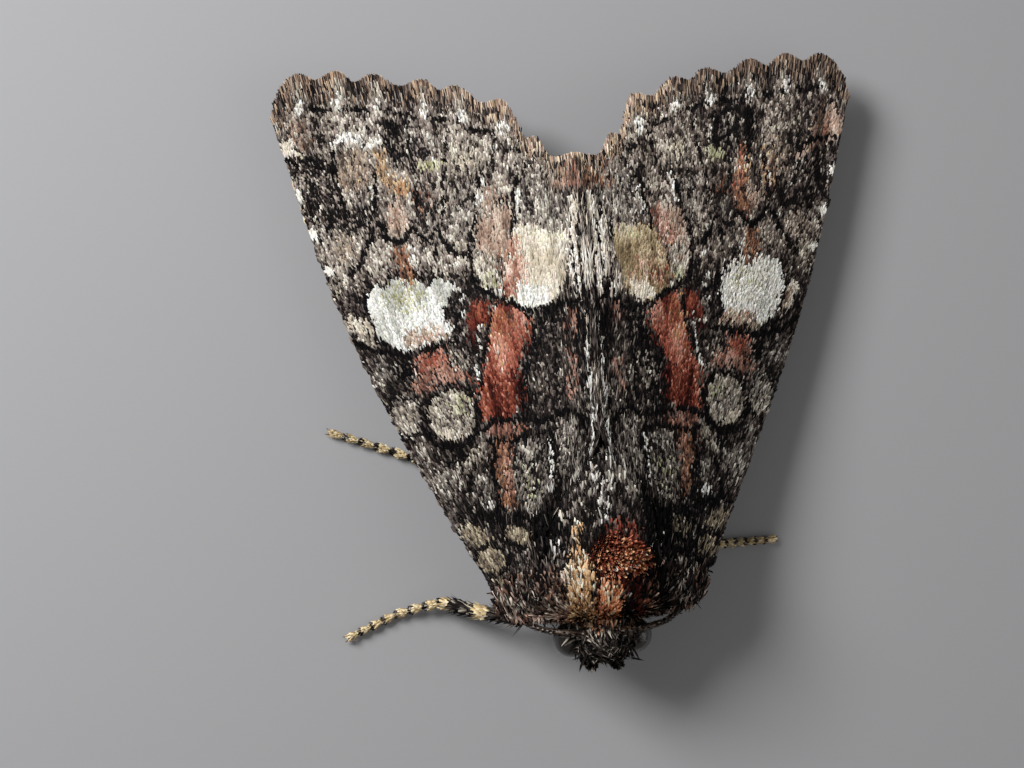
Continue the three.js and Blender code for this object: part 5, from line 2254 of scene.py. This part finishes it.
@dataclass
class BodyCoat:
    """The body's hair and scales: head, thorax with its crest, chest and abdomen."""

    hide: Hide
    roof: Roof
    material: Material
    rng: Random
    front_y: float = -7.3
    length: float = 12.6
    axis_z: float = 2.0
    brow_root: Place = (0.46, -6.34, 2.62)
    brow_count: int = 420
    brow_lie: Lie = Lie((0.22, 0.40), (0.044, 0.066), (-4, 12), 10, 30, (-0.5, -0.2))
    corner_ends: tuple[Place, ...] = (  # where the locks of a shoulder's squared corner end, on the left
        (2.44, -5.72, 1.95), (2.50, -5.25, 1.95), (1.85, -5.84, 2.0), (1.25, -5.90, 2.2),
    )
    corner_reach: float = 0.9  # the longest of those scales
    corner_gap: float = 0.085
    corner_lie: Lie = Lie((1, 1), (0.050, 0.076), (0, 12), 8, 24, (-0.25, -0.05))
    pad_count: int = 1700
    pad_lie: Lie = Lie((0.20, 0.34), (0.044, 0.066), (10, 34), 18, 24, (-0.3, -0.05))
    crest: Place = (0.30, -4.30, 3.2)
    crest_radii: Spot = (0.68, 0.56)
    crest_top: float = 4.33
    crest_count: int = 1500
    crest_lie: Lie = Lie((1, 1), (0.042, 0.070), (-6, 6), 5, 60)

    def spots(self, points: Array) -> Array:
        """Unwraps places on the body by angle round its length and distance along it."""
        angle = np.arctan2(points[:, 0], points[:, 2] - self.axis_z) / TURN + 0.5
        return np.column_stack((angle, (points[:, 1] - self.front_y) / self.length)) * 0.98 + 0.01

    def bare_of_wing(self, points: Array) -> Array:
        """Says where no wing lies over the body.

        Args:
            points: Places on the skin.

        Returns:
            True for each place beside, ahead of or well below the wings.
        """
        x, y = np.abs(points[:, 0]), points[:, 1]
        return (x < 0.10 + inner_gap(y)) | (y < -4.75) | (points[:, 2] < self.roof.height(x, y) - 0.45)

    def along_wing(self, points: Array) -> Array:
        """Says where the inner margins of the forewings pass."""
        return np.abs(np.abs(points[:, 0]) - inner_gap(points[:, 1])) < 0.34

    def off_eye(self, points: Array) -> Array:
        """Says where there is no eye."""
        mirrored = np.column_stack((np.abs(points[:, 0]), points[:, 1:]))
        return np.linalg.norm(mirrored - EYE_CENTRE, axis=1) > EYE_RADIUS - 0.02

    def grow(self, zone: Zone, also: Curve | None = None) -> Tufts:
        """Grows one stretch of coat along the skin.

        Args:
            zone: The stretch.
            also: Says which of its places take roots, if not all do.

        Returns:
            The scales or locks.
        """
        inside = (lambda points: zone.holds(points) & also(points)) if also else zone.holds
        points, above = self.hide.roots(inside, zone.gap, self.rng)
        away = unit(points - np.array(zone.source))
        ahead = unit(away - (away * above).sum(axis=1, keepdims=True) * above)
        if zone.tone is None:
            shown = points + ahead * (0.6 * zone.lie.length[1])
            colour = TOP_PATTERN.paint(shown, shown[:, :2], self.rng)
        else:
            colour = zone.tone.pick(self.rng.random(len(points)))
        return zone.lie.grow(points, ahead, above, colour, self.spots(points), self.rng, zone.pale)

    def head(self) -> Tufts:
        """Grows the rough hair of the head: upright on the crown, short on the face.

        Returns:
            The locks.
        """
        groups = [self.grow(FACE, self.off_eye), self.grow(CROWN, self.off_eye)]
        return Tufts.joined(groups + [self.brow(side) for side in Side])

    def brow(self, side: Side) -> Tufts:
        """Grows the tuft that leans out from the feeler's base and half covers the eye.

        Args:
            side: Which eye.

        Returns:
            The locks.
        """
        count = self.brow_count
        turn = self.rng.random((2, count))
        middle = np.array(self.brow_root) * (side.value, 1, 1)
        root = middle + self.rng.normal(0, 1, (count, 3)) * (0.14, 0.20, 0.06)
        angle = blend(-2.2, 1.1, turn[0])
        way = np.column_stack((np.cos(angle) * side.value, np.sin(angle), 0.25 - 0.75 * turn[1]))
        colour = SOOT.pick(self.rng.random(count))
        above = np.tile(UP, (count, 1))
        return self.brow_lie.grow(root, way, above, colour, self.spots(root), self.rng, 0.25)

    def thorax(self) -> Tufts:
        """Lays the thorax's broad scales and the raised collar behind the head.

        Returns:
            The scales.
        """
        groups = [self.grow(BACK, self.bare_of_wing), self.grow(WING_EDGE, self.along_wing)]
        return Tufts.joined(groups + [self.grow(zone) for zone in (SADDLE, COLLAR, RUFF)])

    def shoulders(self) -> Tufts:
        """Grows the shaggy scales of the shoulder lobes, which lie back over the wing bases.

        Returns:
            The scales.
        """
        groups = [self.grow(LOBES)]
        groups += [self.corner(side, end) for side in Side for end in self.corner_ends]
        return Tufts.joined(groups + [self.pad(side) for side in Side])

    def corner(self, side: Side, end: Place) -> Tufts:
        """Grows one lock of broad scales at a shoulder's squared corner, over the feeler that lies beneath.

        Args:
            side: Which shoulder.
            end: Where the lock's tips meet, on the left.

        Returns:
            The scales.
        """
        middle = np.array(end) * (side.value, 1, 1)
        points, above = self.hide.roots(
            lambda points: (np.linalg.norm(points - middle, axis=1) < 1.5) & (points[:, 2] > 1.7)
            & (points[:, 0] * side.value > 0.8),
            self.corner_gap, self.rng,
        )
        way = middle + self.rng.normal(0, 1, points.shape) * (0.12, 0.08, 0.08) - points
        distance = np.linalg.norm(way, axis=1)
        points, above, way, distance = (part[distance > 0.3] for part in (points, above, way, distance))
        reach = np.minimum(distance, self.corner_reach)
        tips = points + unit(way) * reach[:, None]
        colour = TOP_PATTERN.paint(tips, tips[:, :2], self.rng)
        tufts = self.corner_lie.grow(points, way, above, colour, self.spots(points), self.rng, 0.06)
        tufts.length = reach
        return tufts

    def pad(self, side: Side) -> Tufts:
        """Shingles short scales over a shoulder's long ones, out to its squared corner.

        Args:
            side: Which shoulder.

        Returns:
            The scales, which lie straight back.
        """
        x, y = self.rng.uniform(0.9, 2.58, self.pad_count), self.rng.uniform(-6.02, -4.75, self.pad_count)
        rounded = (smooth_step(x, 2.1, 2.6) * smooth_step(-y, 5.6, 6.05)) < 0.5
        x, y = x[rounded], y[rounded]

        def height(x: Array, y: Array) -> Array:
            """Gives the height of the shoulder's surface."""
            return 3.5 - 0.95 * ((x - 0.95) / 1.65) ** 2 - 0.8 * smooth_step(-y, 5.2, 6.1)

        step = 0.02
        slope_x = (height(x - step, y) - height(x + step, y)) * side.value
        slope_y = height(x, y - step) - height(x, y + step)
        above = np.column_stack((slope_x, slope_y, np.full(len(x), 2 * step)))
        root = np.column_stack((x * side.value, y, height(x, y) + self.rng.normal(0, 0.04, len(x))))
        shown = root + 0.15 * TAILWARD
        colour = TOP_PATTERN.paint(shown, shown[:, :2], self.rng)
        ahead = np.tile(TAILWARD, (len(x), 1))
        return self.pad_lie.grow(root, ahead, above, colour, self.spots(root), self.rng, 0.06)

    def crest_tuft(self) -> Tufts:
        """Grows the crest: an upright brush behind the collar whose tips show as grains.

        Returns:
            The locks.
        """
        count = self.crest_count
        angle = self.rng.random(count) * 2 * np.pi
        share = np.sqrt(self.rng.random(count))
        flat = np.column_stack((np.cos(angle) * share, np.sin(angle) * share)) * self.crest_radii
        flat = flat * (1 + 0.13 * np.sin(3 * angle + 3.4) + 0.06 * np.sin(5 * angle))[:, None]
        flat[:, 0] *= 1 - 0.35 * np.maximum(flat[:, 1], 0) / self.crest_radii[1]
        flat[:, 0] -= 0.30 * flat[:, 1]
        root = np.column_stack((flat * 0.9, np.zeros(count))) + np.array(self.crest)
        tuft = cloud(flat[:, 0], flat[:, 1], 0.16, 0.20, 61)
        top = np.column_stack((flat, np.zeros(count))) + np.array(self.crest)
        top += self.rng.normal(0, 0.04, (count, 3))
        top[:, 1] += 0.30 * (tuft - 0.4)
        top[:, 0] += 0.16 * (cloud(flat[:, 0], flat[:, 1], 0.2, 0.2, 62) - 0.5)
        top[:, 2] = self.crest_top - 0.62 * share**2.6 + self.rng.normal(0, 0.08, count)
        top[:, 2] += 0.30 * (tuft - 0.5)
        front = smooth_step(-flat[:, 1] / self.crest_radii[1], -0.9, 0.9)
        colour = EMBER.pick(np.clip(self.rng.random(count) * 0.75 + 0.55 * front - 0.24, 0, 0.999))
        way = top - root
        facing = unit(np.column_stack((self.rng.normal(0, 1, (count, 2)), np.zeros(count))))
        tufts = self.crest_lie.grow(root, way, facing, colour * 0.8, self.spots(root), self.rng)
        tufts.tip_colour = np.minimum(colour * 2.2, 0.9)
        tufts.length = np.linalg.norm(way, axis=1)
        return tufts

    def build(self, scale: Form, lock: Form, palps: list[Palp]) -> None:
        """Makes the body's coat.

        Args:
            scale: A scale's form.
            lock: A lock's form.
            palps: The palps, whose coat goes with the head's.
        """
        pieces = (
            ("head_hair", lock, self.head()),
            ("palp_scales", scale, Tufts.joined(palp.coat(self.rng) for palp in palps)),
            ("thorax_scales", scale, self.thorax()),
            ("shoulder_scales", scale, self.shoulders()),
            ("crest_scales", scale, self.crest_tuft()),
            ("chest_hair", lock, self.grow(CHEST)),
            ("abdomen_scales", scale, self.grow(BELLY)),
            ("tail_hair", lock, self.grow(TAIL)),
        )
        for name, form, tufts in pieces:
            show(tufts.mesh(name, form), self.material, "body_scales")


@dataclass
class Eye:
    """A compound eye: a dome of fine facets, dark and glossy."""

    side: Side
    material: Material
    centre: Place = EYE_CENTRE
    radius: float = EYE_RADIUS - 0.02

    def build(self) -> None:
        """Makes the dome."""
        bm = bmesh.new()
        bmesh.ops.create_icosphere(bm, subdivisions=5, radius=self.radius)
        bmesh.ops.translate(bm, verts=bm.verts, vec=on_side((self.centre,), self.side)[0])
        name = f"eye_{self.side.word}"
        show(finished_mesh(bm, f"{name}_dome"), self.material, "eye", (name,))


@dataclass
class Proboscis:
    """The tongue, coiled like a watch spring under the face."""

    material: Material
    centre: Place = (0.0, -6.95, 1.50)
    coil_radius: float = 0.20
    turns: float = 2.2
    radius: float = 0.045
    steps: int = 26

    def build(self) -> None:
        """Makes the coil."""
        knots = []
        for step in range(self.steps + 1):
            share = step / self.steps
            angle = math.tau * self.turns * share + 1.2
            reach = self.coil_radius * (1 - 0.62 * share)
            y, z = math.cos(angle) * reach, math.sin(angle) * reach
            knots.append((self.centre[0], self.centre[1] + y, self.centre[2] + z))
        coil = Route(tuple(knots), aside=(1.0, 0.0, 0.0))
        bm = coil.tube(lambda share: self.radius * (1 - 0.5 * share), 12, 160)
        show(finished_mesh(bm, "proboscis"), self.material, "body_scales")


# ---- the studio


@dataclass
class Studio:
    """Grey floor, a soft key light from the tail end's right side, a weak fill, and the camera above."""

    target: Place = (-2.0, -0.11, 3.4)  # mm
    distance: float = 40.6
    lean: float = 6.0  # degrees that the camera leans towards the right side
    roll: float = 3.4
    lens: float = 60.0
    key_power: float = 0.085
    fill_power: float = 0.008
    key_place: Place = (-50.0, 38.0, 52.0)
    fill_place: Place = (60.0, -20.0, 50.0)
    key_size: float = 34.0
    fill_size: float = 60.0
    floor_size: float = 400.0
    floor_drop: float = 0.02  # the feet stand this far above it
    sky: str = "#d6d5d4"
    sky_strength: float = 0.30

    def floor(self) -> None:
        """Lays the floor."""
        bm = bmesh.new()
        bmesh.ops.create_grid(bm, x_segments=1, y_segments=1, size=self.floor_size * METRES)
        bmesh.ops.translate(bm, verts=bm.verts, vec=(0, 0, -self.floor_drop * METRES))
        mesh = finished_mesh(bm, "floor")
        mesh.materials.append(CardFinish().build())
        floor = bpy.data.objects.new("floor", mesh)
        bpy.context.scene.collection.objects.link(floor)

    def light(self, name: str, place: Place, power: float, size: float) -> None:
        """Hangs a soft square light that faces the moth.

        Args:
            name: Its name.
            place: Where it hangs, in mm.
            power: Its power in watts.
            size: Its side in mm.
        """
        lamp = bpy.data.lights.new(name, "AREA")
        lamp.energy = power
        lamp.size = size * METRES
        light = bpy.data.objects.new(name, lamp)
        light.location = Vector(place) * METRES
        light.rotation_euler = (-Vector(place)).to_track_quat("-Z", "Y").to_euler()
        bpy.context.scene.collection.objects.link(light)

    def camera(self) -> None:
        """Sets the camera above the moth."""
        lean, roll = math.radians(self.lean), math.radians(self.roll)
        back = Vector((-math.sin(lean), 0.0, math.cos(lean)))
        level = Vector((math.cos(lean), 0.0, math.sin(lean)))
        ahead = Vector((0.0, 1.0, 0.0))
        right = level * math.cos(roll) - ahead * math.sin(roll)
        up = level * math.sin(roll) + ahead * math.cos(roll)
        data = bpy.data.cameras.new("camera")
        data.lens = self.lens
        data.sensor_width = 36.0
        data.clip_start = 1 * METRES
        data.clip_end = 10.0
        camera = bpy.data.objects.new("camera", data)
        turn = Matrix((right, up, back)).transposed().to_4x4()
        stand = Vector(self.target) + packed_shift() + back * self.distance
        camera.matrix_world = Matrix.Translation(stand * METRES) @ turn
        bpy.context.scene.collection.objects.link(camera)
        bpy.context.scene.camera = camera

    def build(self) -> None:
        """Sets up floor, lights, camera and the colour transform."""
        self.floor()
        self.light("key", self.key_place, self.key_power, self.key_size)
        self.light("fill", self.fill_place, self.fill_power, self.fill_size)
        self.camera()
        world = bpy.data.worlds.new("studio")
        world.use_nodes = True
        background = world.node_tree.nodes["Background"]
        background.inputs["Color"].default_value = linear_rgba(self.sky)
        background.inputs["Strength"].default_value = self.sky_strength
        bpy.context.scene.world = world
        bpy.context.scene.view_settings.view_transform = "Standard"


def main() -> None:
    """Builds the moth piece by piece and sets it in the studio."""
    logging.basicConfig(level=logging.INFO, format="%(message)s")
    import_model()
    roof = Roof(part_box("forewing_left")[1][0] / METRES)
    scale, lock = Form.scale(), Form.lock()
    forewing_scales = ScaleFinish("forewing_scale_chitin").build()
    hindwing_scales = ScaleFinish("hindwing_scale_chitin", 0.5).build()
    body_hair = ScaleFinish("body_hair_chitin", 0.62, 0.03).build()
    leg_scales = ScaleFinish("leg_scale_chitin", 0.5).build()
    feeler_scales = ScaleFinish("feeler_scale_chitin", 0.55).build()
    legs = [Leg(name) for name in LEG_KNOTS]
    palps = [Palp(side) for side in Side]
    forewings = [Forewing(side, roof) for side in Side]
    hindwings = [Hindwing(side, roof) for side in Side]
    skin = Skin(roof, [*forewings, *hindwings], legs, palps, ChitinFinish("skin_chitin").build())
    hide = skin.build(np.random.default_rng(1))
    log.info("skin done")
    for number, wing in enumerate(forewings):
        rng = np.random.default_rng(10 + number)
        WingCoat(wing, rng, forewing_scales, TOP_PATTERN, UNDER_PATTERN).build(scale, lock, "forewing")
    for number, wing in enumerate(hindwings):
        rng = np.random.default_rng(20 + number)
        WingCoat(
            wing, rng, hindwing_scales, HIND_PATTERN, HIND_PATTERN, pitch=0.11, gap=0.10,
            lie=Lie((0.24, 0.34), (0.12, 0.16), (4, 9), 6, 8), slim_count=300, fringe_count=900,
            fringe_tone=BUFF, waves=1, parts=1, streak_count=10, seam_count=10,
        ).build(scale, lock, "hindwing")
    BodyCoat(hide, roof, body_hair, np.random.default_rng(30)).build(scale, lock, palps)
    log.info("body coat done")
    rng = np.random.default_rng(40)
    for leg in legs:
        show(leg.coat(rng).mesh(f"{leg.name}_scales", scale), leg_scales, "leg_scales")
        show(leg.tufts(rng).mesh(f"{leg.name}_hair", lock), leg_scales, "leg_scales")
    first, *others = [hook for leg in legs for hook in leg.claws()]
    for hook in others:
        join(first, hook)
    claw_horn = ChitinFinish("claw_horn", "#5a3a1e", 0.25, 0.03, 0.001, 0.1, 0.3).build()
    show(finished_mesh(first, "claws"), claw_horn, "leg_scales")
    log.info("legs done")
    feeler_chitin = ChitinFinish("feeler_chitin", "#4b3a2c", 0.4, 0.02, 0.002).build()
    eye_cornea = ChitinFinish("eye_cornea", "#150f0b", 0.22, 0.030, 0.006, 0.3, 0.6).build()
    for side in Side:
        Antenna(side).build(scale, feeler_chitin, feeler_scales, np.random.default_rng(50))
        Eye(side, eye_cornea).build()
    Proboscis(ChitinFinish("tongue_chitin", "#6b4426", 0.3, 0.03, 0.002).build()).build()
    Studio().build()
    log.info("all pieces done")


if __name__ == "__main__":
    main()
